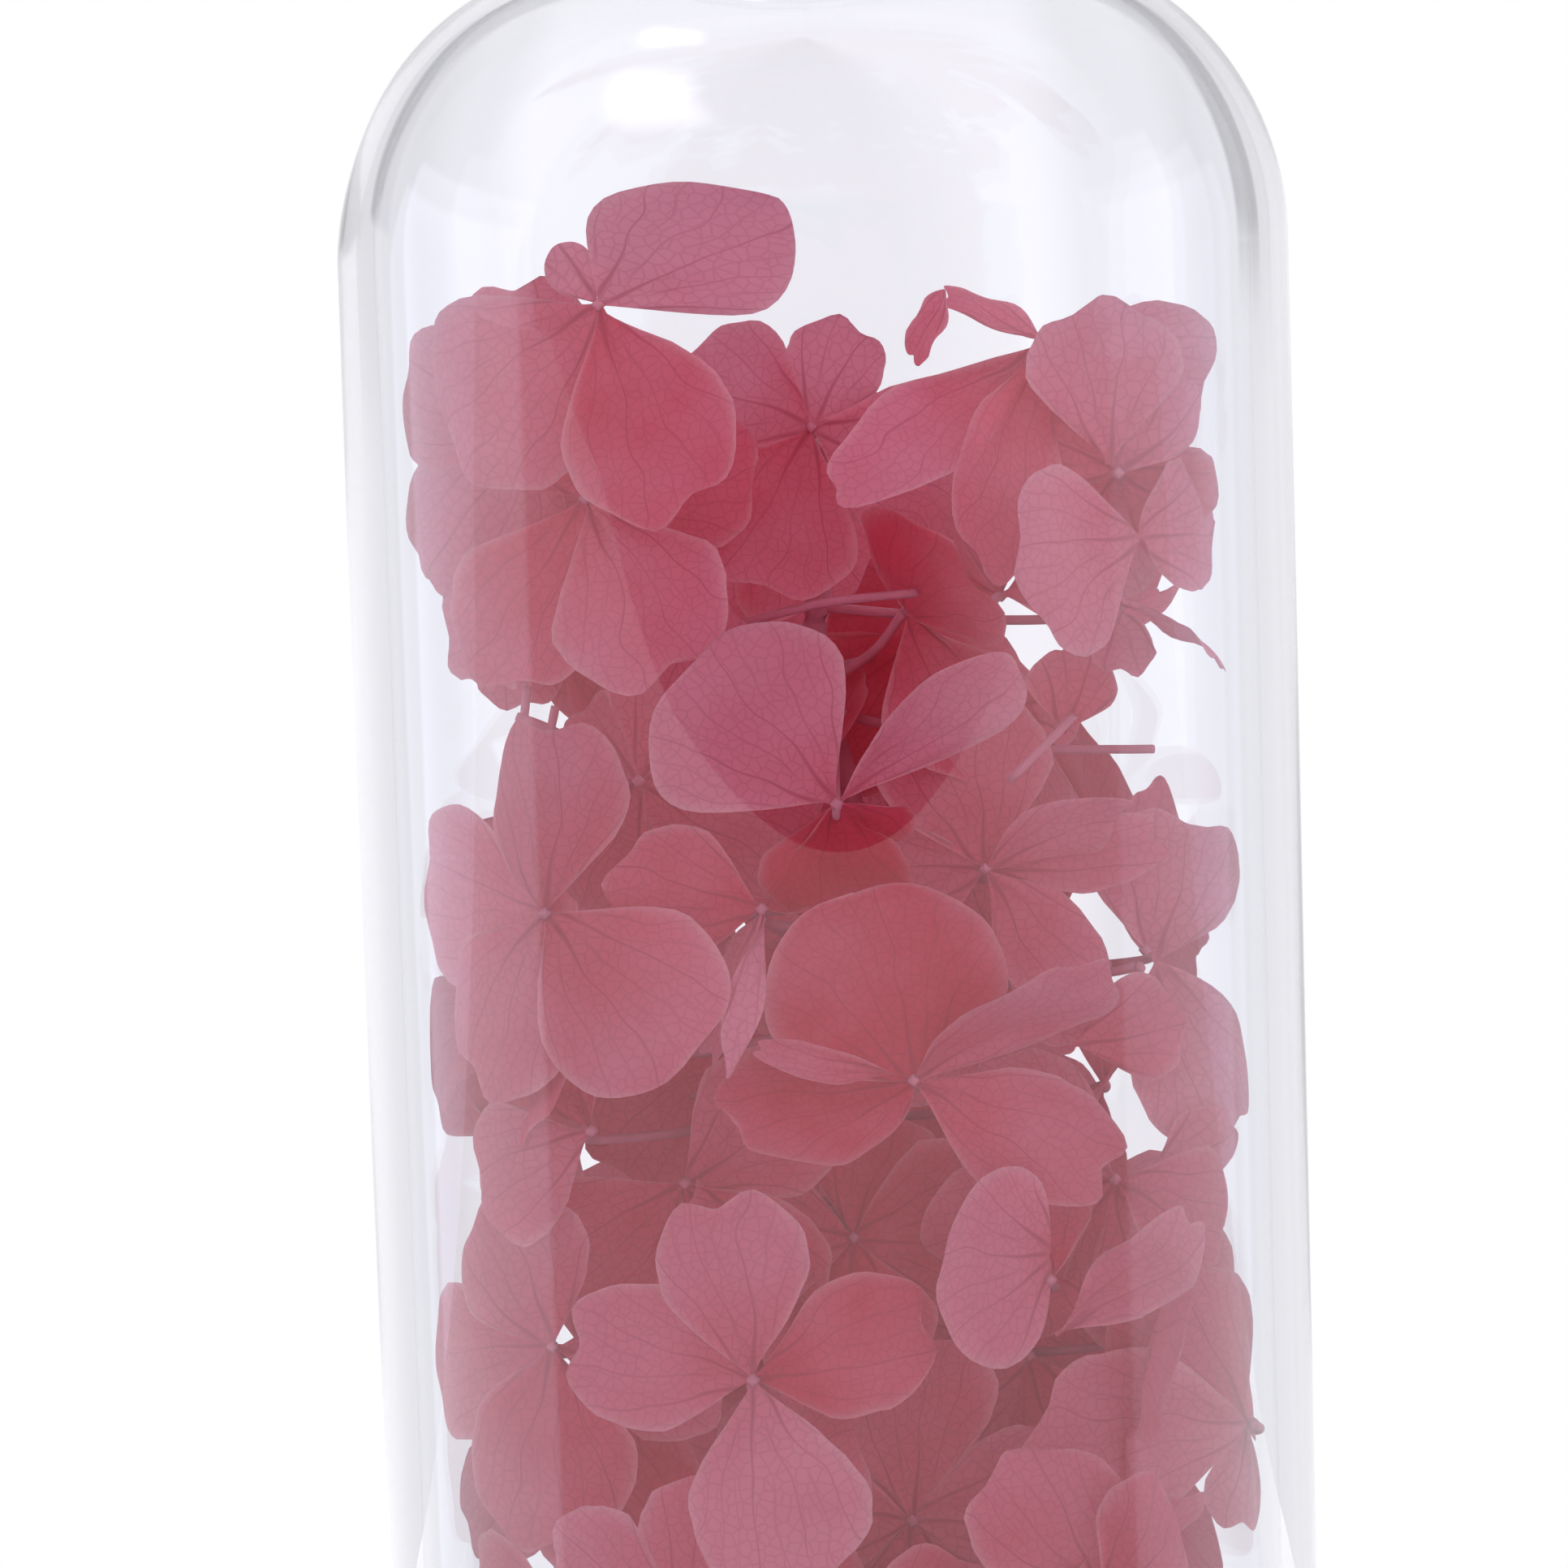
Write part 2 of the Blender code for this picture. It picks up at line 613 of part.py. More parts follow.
def join_sprig(name, solids, mat):
    """One body out of the stalk, which comes first, the pedicels and the petals."""
    repeats = bpy.data.collections.new(name + "_repeats")
    bpy.context.scene.collection.children.link(repeats)
    for number, solid in enumerate(solids[1:]):
        solid_object(f"{name}_piece_{number}", solid, repeats)
    body = solid_object(name, solids[0], bpy.context.scene.collection)
    union = body.modifiers.new("join", "BOOLEAN")
    union.operation = "UNION"
    union.solver = "MANIFOLD"
    union.operand_type = "COLLECTION"
    union.collection = repeats
    joined = body.evaluated_get(bpy.context.evaluated_depsgraph_get())
    bm = bmesh.new()
    bm.from_mesh(joined.to_mesh())
    body.modifiers.clear()
    for piece in list(repeats.objects):
        mesh = piece.data
        bpy.data.objects.remove(piece)
        bpy.data.meshes.remove(mesh)
    bpy.data.collections.remove(repeats)
    largest_body(bm)
    bmesh.ops.triangulate(bm, faces=bm.faces)
    bm.to_mesh(body.data)
    bm.free()
    body.data.materials.append(mat)
    body.data.shade_smooth()
    body.data.set_sharp_from_angle(angle=math.radians(35))
    return body


def make_sprigs(mat):
    draw = random.Random(SEED)
    florets = front_florets() + filler_florets(draw)
    clearance = Clearance()
    stalks = {}
    solids = {}
    for name in SPRIGS:
        stalks[name] = stalk_path(name, draw)
        solids[name] = [tube_mesh(stalks[name], [STALK_RADIUS] * len(stalks[name]), 4)]
        clearance.add(solids[name][0], (name, None))
    spread_branchings(florets, stalks)
    for number, floret in enumerate(florets):
        name = floret["sprig"]
        floret["number"] = number
        pedicel = pedicel_mesh(floret, stalks[name])
        solids[name].append(pedicel)
        clearance.add(pedicel, (name, number))
    for name, start, end in BARE_PEDICELS:
        twig = tube_mesh([Vector(start), Vector(end)], [PEDICEL_RADIUS, PEDICEL_RADIUS * 0.8], 3)
        solids[name].append(twig)
        clearance.add(twig, (name, None))
    for x, z, radius in SIGHT_LINES:
        ray = Vector((x, 0, z)) - EYE
        near = EYE + ray * (1 - BODY_RADIUS / ray.length)
        far = EYE + ray * (1 + BODY_RADIUS / ray.length)
        clearance.add(tube_mesh([near, far], [radius, radius], 6), ("view", None))
    for floret in florets:
        for spec in floret["petals"]:
            solid = lay_petal(floret, spec, clearance)
            if solid:
                solids[floret["sprig"]].append(solid)
                clearance.add(solid, (floret["sprig"], floret["number"]))
    return [join_sprig(name, solids[name], mat) for name in SPRIGS]


def main():
    for obj in list(bpy.data.objects):
        bpy.data.objects.remove(obj)
    glass = material("clear glass", (0.92, 0.92, 0.95), 0.03, 1.0)
    petals = material("dyed petal", (0.56, 0.14, 0.22), 0.7)
    make_bottle(glass)
    make_sprigs(petals)


main()
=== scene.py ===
import math
import random

import bpy
from mathutils import Matrix, Vector, noise
from mathutils.bvhtree import BVHTree


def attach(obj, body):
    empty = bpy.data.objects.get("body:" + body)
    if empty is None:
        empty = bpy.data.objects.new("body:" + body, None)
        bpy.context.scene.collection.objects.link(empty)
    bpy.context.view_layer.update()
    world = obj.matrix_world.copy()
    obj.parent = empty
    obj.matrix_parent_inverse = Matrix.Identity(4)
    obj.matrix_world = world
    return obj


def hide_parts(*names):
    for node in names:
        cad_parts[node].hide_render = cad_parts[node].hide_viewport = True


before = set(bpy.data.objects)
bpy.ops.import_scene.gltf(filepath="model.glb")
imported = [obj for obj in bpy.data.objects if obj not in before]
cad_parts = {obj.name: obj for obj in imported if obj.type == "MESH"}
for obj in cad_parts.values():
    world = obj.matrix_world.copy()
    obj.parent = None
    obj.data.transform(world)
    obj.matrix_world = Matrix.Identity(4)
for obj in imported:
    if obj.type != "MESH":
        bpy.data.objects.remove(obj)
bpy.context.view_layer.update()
mm = 0.001  # everything below is in millimetres and degrees, and turned to metres when a mesh is made


def linearColour(hexColour, alpha=1.0):
    channels = [int(hexColour[i:i + 2], 16) / 255 for i in (1, 3, 5)]
    linear = [c / 12.92 if c <= 0.04045 else ((c + 0.055) / 1.055) ** 2.4 for c in channels]
    return (*linear, alpha)


def addNode(tree, kind, inputs=None, **settings):
    node = tree.nodes.new(kind)
    for name, value in settings.items():
        setattr(node, name, value)
    for key, value in (inputs or {}).items():
        if isinstance(value, bpy.types.NodeSocket):
            tree.links.new(value, node.inputs[key])
        else:
            node.inputs[key].default_value = value
    return node


def newMaterial(name):
    material = bpy.data.materials.new(name)
    material.use_nodes = True
    material.node_tree.nodes.clear()
    return material, material.node_tree


def addMesh(name, points, faces, material):
    mesh = bpy.data.meshes.new(name)
    mesh.from_pydata([(p[0] * mm, p[1] * mm, p[2] * mm) for p in points], [], faces)
    mesh.materials.append(material)
    mesh.shade_smooth()
    mesh.update()
    piece = bpy.data.objects.new(name, mesh)
    bpy.context.scene.collection.objects.link(piece)
    return piece


# Camera: stands where the photograph was taken from, a little above the middle of the bottle
cameraView = {
    "photoSide": 1932,            # px, the photograph is square
    "focalLength": 7760.2,        # px, a long lens
    "sensor": 36.0,
    "aim": (-3.065, 0.0, 80.8),
    "distance": 435.1,
    "pitch": 8.0,                 # looks down by this much
    "roll": -1.846,
}


def addCamera():
    view = cameraView
    pitch = math.radians(view["pitch"])
    roll = math.radians(view["roll"])
    forward = Vector((0, math.cos(pitch), -math.sin(pitch)))
    level = Vector((1, 0, 0))
    above = level.cross(forward)
    right = level * math.cos(roll) + above * math.sin(roll)
    up = above * math.cos(roll) - level * math.sin(roll)
    place = Vector(view["aim"]) - forward * view["distance"]
    data = bpy.data.cameras.new("camera")
    data.sensor_width = view["sensor"]
    data.lens = view["focalLength"] * view["sensor"] / view["photoSide"]
    data.clip_start = 0.01
    camera = bpy.data.objects.new("camera", data)
    turn = Matrix((right, up, -forward)).transposed().to_4x4()
    camera.matrix_world = Matrix.Translation(place * mm) @ turn
    bpy.context.scene.collection.objects.link(camera)
    bpy.context.scene.camera = camera


addCamera()
print("camera in place")


# Studio: a white surround and tabletop, a tall softbox on each side, small ones above, and a dim
# side in front, which the glass reflects. Azimuth 0 is the front, -Y, and 90 is +X. Strengths are
# shares of white.
studio = {
    "white": "#ffffff",
    "softbox": "#f0f0ff",
    "glassy": "#fbfbff",          # the surround's tint where it shows through or in the glass
    "behind": (0.0, 0.99, -0.139),    # towards the middle of the bright panel behind the bottle
    "through": 1.04,
    "rear": 1.14,                 # the panel's middle, as the glass reflects it
    "rearSide": 0.84,             # what it has faded to at its sides
    "rearFade": (8.0, 42.0),      # how far off the middle it fades
    "cards": (                    # grey cards: where, in degrees, and how much they darken the glass
        {"off": (24.0, 60.0), "level": (-3.3, 90.0), "through": 0.75, "reflected": 0.0},
        {"off": (36.8, 50.0), "level": (-3.3, 90.0), "through": 0.0, "reflected": 0.4},
    ),
    "sideCards": (                # these hang from floor to ceiling, so only the azimuth counts
        {"azimuth": (120.0, 174.4), "soft": 1.2, "through": 0.14, "reflected": 0.0},
        {"azimuth": (-174.4, -120.0), "soft": 1.2, "through": 0.14, "reflected": 0.0},
        {"azimuth": (120.0, 167.5), "soft": 3.0, "through": 0.18, "reflected": 0.0},
        {"azimuth": (-170.0, -120.0), "soft": 3.0, "through": 0.2, "reflected": 0.0},
        {"azimuth": (152.0, 190.0), "soft": 3.0, "through": 0.0, "reflected": 0.1},
    ),
    "table": 0.6,
    "tableLevels": (-100.0, -8.95),   # the tabletop fills the view from straight down to its far edge
    "front": 0.03,
    "glowLeft": (-20.0, -75.0, 0.55),     # between these azimuths the front grows this bright
    "glowRight": (15.0, 55.0, 0.85),
    "frontEdges": (-75.0, 73.0),
    "fill": 1.65,                 # the light that reaches the flowers from in front
    "fillRear": 1.3,
    "softEdge": 1.2,
    # A softbox lies between two edges across and two upright. Each pair holds the shares of azimuth
    # and elevation that it is measured along, the edges and how soft they are. The last two boxes
    # hang overhead, turned.
    "softboxes": (
        {"strength": 1.8, "across": (1.0, 0.0, -122.0, -75.0, 1.2), "upright": (0.0, 1.0, -24.0, 14.0, 1.2)},
        {"strength": 1.5, "across": (1.0, 0.0, 73.0, 118.0, 1.2), "upright": (0.0, 1.0, -24.0, 14.0, 1.2)},
        {"strength": 2.6, "across": (1.0, 1.7, 10.0, 52.0, 8.0), "upright": (-0.252, 1.0, 58.5, 82.0, 5.0)},
        {"strength": 2.8, "across": (1.0, -0.923, -188.0, -165.0, 6.0),
         "upright": (-0.041, 1.0, 68.8, 78.0, 1.6)},
    ),
}

board = {                         # the sheet that the bottle stands on
    "front": -540.0,
    "back": 85.0,
    "side": 1500.0,
    "grain": 2.5,
    "colour": "#dededf",
    "pale": "#e6e6e7",
    "roughness": 0.9,
    "specular": 0.1,
}


def betweenEdges(tree, value, low, high, soft):
    rise = addNode(tree, "ShaderNodeMapRange", {
        "Value": value, "From Min": low - soft, "From Max": low + soft}, interpolation_type="SMOOTHSTEP")
    fall = addNode(tree, "ShaderNodeMapRange", {
        "Value": value, "From Min": high + soft, "From Max": high - soft}, interpolation_type="SMOOTHSTEP")
    both = addNode(tree, "ShaderNodeMath", {0: rise.outputs[0], 1: fall.outputs[0]}, operation="MULTIPLY")
    return both.outputs[0]


def shareOf(hexColour, strength):
    return (*[c * strength for c in linearColour(hexColour)[:3]], 1.0)


def litTo(tree, light, shape, strength, tint="glassy"):
    # the light, turned to this share of the tint where the shape is 1
    lit = addNode(tree, "ShaderNodeMix", {0: shape, 6: light, 7: shareOf(studio[tint], strength)},
                  data_type="RGBA")
    return lit.outputs[2]


def darkened(tree, light, shape, depth):
    if depth == 0:
        return light
    share = addNode(tree, "ShaderNodeMath", {0: shape, 1: depth}, operation="MULTIPLY").outputs[0]
    return litTo(tree, light, share, 0.0)


def inRadians(angles):
    return [math.radians(angle) for angle in angles]


def addSurround():
    world = bpy.data.worlds.new("studio")
    bpy.context.scene.world = world
    world.use_nodes = True
    world.cycles.sampling_method = "NONE"  # light is found by scattering: aimed rays stop at the glass
    tree = world.node_tree
    tree.nodes.clear()
    soft = math.radians(studio["softEdge"])
    direction = addNode(tree, "ShaderNodeTexCoord").outputs["Generated"]
    axes = addNode(tree, "ShaderNodeSeparateXYZ", {0: direction})
    front = addNode(tree, "ShaderNodeMath", {0: axes.outputs["Y"], 1: -1.0}, operation="MULTIPLY").outputs[0]
    azimuth = addNode(tree, "ShaderNodeMath", {0: axes.outputs["X"], 1: front},
                      operation="ARCTAN2").outputs[0]
    elevation = addNode(tree, "ShaderNodeMath", {0: axes.outputs["Z"]}, operation="ARCSINE").outputs[0]
    straight = addNode(tree, "ShaderNodeVectorMath", {0: direction, 1: studio["behind"]},
                       operation="DOT_PRODUCT").outputs["Value"]
    offMiddle = addNode(tree, "ShaderNodeMath", {0: straight}, operation="ARCCOSINE").outputs[0]

    inFront = betweenEdges(tree, azimuth, *inRadians(studio["frontEdges"]), soft)
    onTable = betweenEdges(tree, elevation, *inRadians(studio["tableLevels"]), soft / 2)
    dim = shareOf(studio["glassy"], studio["front"])
    for start, end, strength in (studio["glowLeft"], studio["glowRight"]):
        side = addNode(tree, "ShaderNodeMapRange", {
            "Value": azimuth, "From Min": math.radians(start), "From Max": math.radians(end)},
            interpolation_type="SMOOTHSTEP")
        dim = litTo(tree, dim, side.outputs[0], strength)
    dim = litTo(tree, dim, onTable, studio["table"])
    low, high = inRadians(studio["rearFade"])
    fade = addNode(tree, "ShaderNodeMapRange", {"Value": offMiddle, "From Min": low, "From Max": high},
                   interpolation_type="SMOOTHSTEP").outputs[0]
    rear = litTo(tree, shareOf(studio["glassy"], studio["rear"]), fade, studio["rearSide"])
    through = shareOf(studio["glassy"], studio["through"])
    reflected = addNode(tree, "ShaderNodeMix", {0: inFront, 6: rear, 7: dim}, data_type="RGBA").outputs[2]
    lighting = litTo(tree, shareOf(studio["white"], studio["fillRear"]), inFront, studio["fill"], "white")
    for card in studio["cards"]:
        around = betweenEdges(tree, offMiddle, *inRadians(card["off"]), soft)
        upright = betweenEdges(tree, elevation, *inRadians(card["level"]), soft)
        shape = addNode(tree, "ShaderNodeMath", {0: around, 1: upright}, operation="MULTIPLY").outputs[0]
        through = darkened(tree, through, shape, card["through"])
        reflected = darkened(tree, reflected, shape, card["reflected"])
    for card in studio["sideCards"]:
        shape = betweenEdges(tree, azimuth, *inRadians(card["azimuth"]), math.radians(card["soft"]))
        through = darkened(tree, through, shape, card["through"])
        reflected = darkened(tree, reflected, shape, card["reflected"])
    for box in studio["softboxes"]:
        sides = []
        for azimuthShare, elevationShare, *edges in (box["across"], box["upright"]):
            part = addNode(tree, "ShaderNodeMath", {0: elevation, 1: elevationShare}, operation="MULTIPLY")
            place = addNode(tree, "ShaderNodeMath", {0: azimuth, 1: azimuthShare, 2: part.outputs[0]},
                            operation="MULTIPLY_ADD")
            sides.append(betweenEdges(tree, place.outputs[0], *inRadians(edges)))
        shape = addNode(tree, "ShaderNodeMath", {0: sides[0], 1: sides[1]}, operation="MULTIPLY").outputs[0]
        reflected = litTo(tree, reflected, shape, box["strength"], "softbox")
        lighting = litTo(tree, lighting, shape, box["strength"], "softbox")

    # seen straight the surround is plain white; the glass shows and reflects the rest of the studio
    path = addNode(tree, "ShaderNodeLightPath")
    seen = linearColour(studio["white"])
    for depth, light in (("Transmission Depth", through), ("Glossy Depth", reflected),
                         ("Diffuse Depth", lighting)):
        after = addNode(tree, "ShaderNodeMath", {0: path.outputs[depth], 1: 0.5}, operation="GREATER_THAN")
        seen = addNode(tree, "ShaderNodeMix", {0: after.outputs[0], 6: seen, 7: light},
                       data_type="RGBA").outputs[2]
    surround = addNode(tree, "ShaderNodeBackground", {"Color": seen, "Strength": 1.0})
    addNode(tree, "ShaderNodeOutputWorld", {"Surface": surround.outputs[0]})


def boardMaterial():
    # painted board: matt and even, with the faint mottle of a rolled coat
    material, tree = newMaterial("paintedBoard")
    grain = addNode(tree, "ShaderNodeTexNoise", {"Scale": 1 / (board["grain"] * mm), "Detail": 4.0})
    tone = addNode(tree, "ShaderNodeMix", {
        0: grain.outputs["Fac"], 6: linearColour(board["colour"]), 7: linearColour(board["pale"])},
        data_type="RGBA")
    paint = addNode(tree, "ShaderNodeBsdfPrincipled", {
        "Base Color": tone.outputs[2], "Roughness": board["roughness"],
        "Specular IOR Level": board["specular"]})
    addNode(tree, "ShaderNodeOutputMaterial", {"Surface": paint.outputs[0]})
    return material


def addFloor():
    side, front, back = board["side"], board["front"], board["back"]
    corners = [(-side, front, 0), (side, front, 0), (side, back, 0), (-side, back, 0)]
    floor = addMesh("floor", corners, [(0, 1, 2, 3)], boardMaterial())
    floor.visible_glossy = False  # the tabletop's reflection is part of the surround


addSurround()
addFloor()
print("studio lit")


# Bottle: clear soda-lime glass, moulded, with a fire-polished lip. The sizes are the CAD's own.
bottle = {
    "bodyRadius": 32.5,
    "wall": 2.2,
    "shoulderStart": 118.0,
    "shoulderRadius": 20.0,
    "neckRadius": 12.0,
    "neckFillet": 4.0,
    "boreRadius": 9.4,
    "neckTop": 160.0,
    "lipRadius": 14.4,
    "lipHeight": 7.0,
    "lipRound": 2.4,
    "lipFillet": 0.6,             # where the neck runs into the lip
    "boreRound": 1.0,             # the bore's top edge
    "boreEase": 2.0,              # where the bore opens into the shoulder
    "floorHeight": 6.0,
    "floorRound": 5.0,
    "floorDomes": ((0.5, 0.1), (0.0, 0.25)),      # the floor rises this much, at these shares of its radius
    "heelRound": 4.0,
    "footInner": 21.0,
    "puntDepth": 1.4,
    "puntCurve": ((0.0, 1.0), (0.5, 0.93), (0.85, 0.55), (1.0, 0.0)),     # shares of its radius and depth
    "outerRings": (30.0, 60.0, 90.0),
    "innerRings": (105.0, 85.0, 65.0, 45.0, 25.0),
    "segments": 192,
    "thicker": 0.35,              # the blown wall is this much thicker than its plain size
    "eased": 0.28,                # the shoulder's outside is this much softer
    "easedLeft": 0.6,             # and by this share more on the left, less on the right
    "easedHeight": 7.0,           # most of all this far above the shoulder's start
    "raised": 0.7,                # the glass is this much thinner under the neck
    "raisedOver": 16.0,           # which grows over this height
    "innerWave": 0.03,            # the wall's thickness wanders by this much inside
    "innerWaves": ((1.0, 2, 0.045, 0.0), (0.6, 3, -0.07, 1.3)),   # share, times round, climb and start
    "tint": "#fdfdff",
    "ior": 1.52,
    "ripples": 45.0,              # in a metre, so one in about 22 mm
    "rippleDepth": 0.15,
}


def glassMaterial():
    # soda-lime glass: clear and faintly cool, with a soft ripple from the mould that bends what shows
    material, tree = newMaterial("clearSodaLimeGlass")
    place = addNode(tree, "ShaderNodeTexCoord").outputs["Object"]
    stretched = addNode(tree, "ShaderNodeMapping", {"Vector": place, "Scale": (1.0, 1.0, 0.45)})
    ripple = addNode(tree, "ShaderNodeTexNoise", {
        "Vector": stretched.outputs[0], "Scale": bottle["ripples"], "Detail": 1.0, "Roughness": 0.4})
    bump = addNode(tree, "ShaderNodeBump", {"Height": ripple.outputs["Fac"], "Strength": 0.25,
                                            "Distance": bottle["rippleDepth"] * mm})
    glass = addNode(tree, "ShaderNodeBsdfPrincipled", {
        "Base Color": linearColour(bottle["tint"]), "Roughness": 0.0, "IOR": bottle["ior"],
        "Transmission Weight": 1.0, "Normal": bump.outputs[0]})
    addNode(tree, "ShaderNodeOutputMaterial", {"Surface": glass.outputs[0]})
    return material


def arcPoints(centreR, centreZ, radius, start, end, steps):
    turns = [math.radians(start + (end - start) * i / steps) for i in range(steps + 1)]
    return [(centreR + radius * math.cos(t), centreZ + radius * math.sin(t)) for t in turns]


def bottleProfile():
    b = bottle
    shoulderR = b["bodyRadius"] - b["shoulderRadius"]
    inner = b["bodyRadius"] - b["wall"]
    lipTop = b["neckTop"] + b["lipHeight"]
    filletR = b["neckRadius"] + b["neckFillet"]
    reach = b["shoulderRadius"] + b["neckFillet"]
    lean = math.degrees(math.acos((filletR - shoulderR) / reach))
    filletZ = b["shoulderStart"] + reach * math.sin(math.radians(lean))
    lipCentre = b["lipRadius"] - b["lipRound"]
    outside = [(b["footInner"] * out, b["puntDepth"] * deep) for out, deep in b["puntCurve"]]
    outside += arcPoints(b["bodyRadius"] - b["heelRound"], b["heelRound"], b["heelRound"], -90, 0, 12)
    outside += [(b["bodyRadius"], z) for z in b["outerRings"]]
    outside += arcPoints(shoulderR, b["shoulderStart"], b["shoulderRadius"], 0, lean, 28)
    outside += arcPoints(filletR, filletZ, b["neckFillet"], 180 + lean, 180, 8)[1:]
    fillet = b["lipFillet"]
    outside += arcPoints(b["neckRadius"] + fillet, b["neckTop"] - fillet, fillet, 180, 90, 3)
    outside += arcPoints(lipCentre, b["neckTop"] + b["lipRound"], b["lipRound"], -60, 0, 6)
    outside += arcPoints(lipCentre, lipTop - b["lipRound"], b["lipRound"], 0, 90, 8)
    edge = b["boreRound"]
    inside = arcPoints(b["boreRadius"] + edge, lipTop - edge, edge, 90, 180, 6)
    hollow = b["shoulderRadius"] - b["wall"]
    ease = b["boreEase"]
    bend = math.degrees(math.acos((b["boreRadius"] + ease - shoulderR) / (hollow + ease)))
    bendZ = b["shoulderStart"] + (hollow + ease) * math.sin(math.radians(bend))
    inside += arcPoints(b["boreRadius"] + ease, bendZ, ease, 180, 180 + bend, 6)
    inside += arcPoints(shoulderR, b["shoulderStart"], hollow, bend, 0, 26)[1:]
    inside += [(inner, z) for z in b["innerRings"]]
    corner = b["floorRound"]
    inside += arcPoints(inner - corner, b["floorHeight"] + corner, corner, 0, -90, 10)
    inside += [(inner * out, b["floorHeight"] + rise) for out, rise in b["floorDomes"]]
    return outside, inside


def outerPlace(r, z, turn):
    b = bottle
    if r < b["bodyRadius"] / 2:
        return r, z
    above = (z - b["shoulderStart"] - b["easedHeight"]) / b["easedHeight"]
    return r - b["eased"] * (1 - b["easedLeft"] * math.cos(turn)) * math.exp(-above ** 2), z


def innerPlace(r, z, turn):
    b = bottle
    radius, height = r, z
    if z > b["shoulderStart"] and r > b["boreRadius"] + b["boreRound"]:
        grown = min(1.0, (z - b["shoulderStart"]) / b["raisedOver"])
        height += b["raised"] * math.sin(grown * math.pi / 2) ** 2
    if z > b["floorHeight"] + b["floorRound"] and r > b["bodyRadius"] / 2:
        wave = sum(share * math.sin(times * turn + climb * z + start)
                   for share, times, climb, start in b["innerWaves"])
        radius += b["innerWave"] * wave - b["thicker"]
    return radius, height


def addBottle():
    outside, inside = bottleProfile()
    profile = [(r, z, outerPlace) for r, z in outside] + [(r, z, innerPlace) for r, z in inside]
    count = bottle["segments"]
    points = [(0.0, 0.0, profile[0][1]), (0.0, 0.0, profile[-1][1])]
    rings = profile[1:-1]
    for r, z, place in rings:
        for k in range(count):
            turn = math.tau * k / count
            radius, height = place(r, z, turn)
            points.append((radius * math.cos(turn), radius * math.sin(turn), height))
    faces = []
    for k in range(count):
        following = (k + 1) % count
        faces.append((0, 2 + following, 2 + k))
        for i in range(len(rings) - 1):
            a = 2 + i * count
            faces.append((a + k, a + following, a + count + following, a + count + k))
        last = 2 + (len(rings) - 1) * count
        faces.append((1, last + k, last + following))
    piece = addMesh("bottle_glass", points, faces, glassMaterial())
    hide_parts("bottle")
    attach(piece, "root")


addBottle()
print("bottle turned")


# Flowers: preserved hydrangea heads cut into sprigs. The layout is the CAD's own.
sprig = {
    "names": ("sprig_bottom", "sprig_low", "sprig_middle", "sprig_high", "sprig_top"),
    "edges": (6.3, 34.5, 56.0, 77.6, 98.5, 117.0),
    "restGap": 0.35,
    "wallGap": 0.8,
    "stalkRadius": 1.1,
    "stalkPoints": 5,
    "stalkGap": 2.0,
    "stalkWander": 2.2,
    "stalkEnd": 1.2,
    "pedicelRadius": 0.5,
    "pedicelBehind": 7.0,
    "pedicelBelow": 2.0,
    "hubRadius": 1.4,
    "glassEase": 2.5,
    "floorEase": 1.5,
    "seed": 7,
    "spiralCount": 42,
    "spiralBottom": 15.0,
    "spiralTop": 100.0,
    "spiralRadius": 21.5,
    "frontSector": 62.0,          # the spiral stays out of this much either side of the front
    "frontSectorBottom": 30.0,
    "coreCount": 6,
    "coreRadius": 8.0,
    "goldenAngle": 137.508,
    "spiralSpread": 1.5,
    "spiralNod": (-0.3, 0.5),
    "coreNod": (0.2, 0.8),
    "fillerTurn": 12.0,           # the filling florets draw their petals within these
    "fillerLength": (11.0, 14.5),
    "fillerWidth": (10.0, 14.0),
    "fillerLean": (-22.0, 14.0),
    "fillerTwist": (-28.0, 28.0),
    "fillerBend": (4.0, 26.0),
    "fillerSlant": (-0.15, 0.15),
    "waists": ((85.0, 9.5, 6.0), (56.0, 3.5, 4.0)),   # height, depth and half height of each
    "waistShare": 0.8,
    "leanTries": (0, 9, -9, 18, -18, 28, -28, 40, -40),
    "smaller": 0.75,
}

blade = {                         # the plain blade that stands for a petal while room is made for it
    "thickness": 0.7,
    "rowLow": (0.38, 0.78),
    "rowHigh": (0.70, 1.0),
    "tipShare": 0.44,
    "cup": 0.16,
}

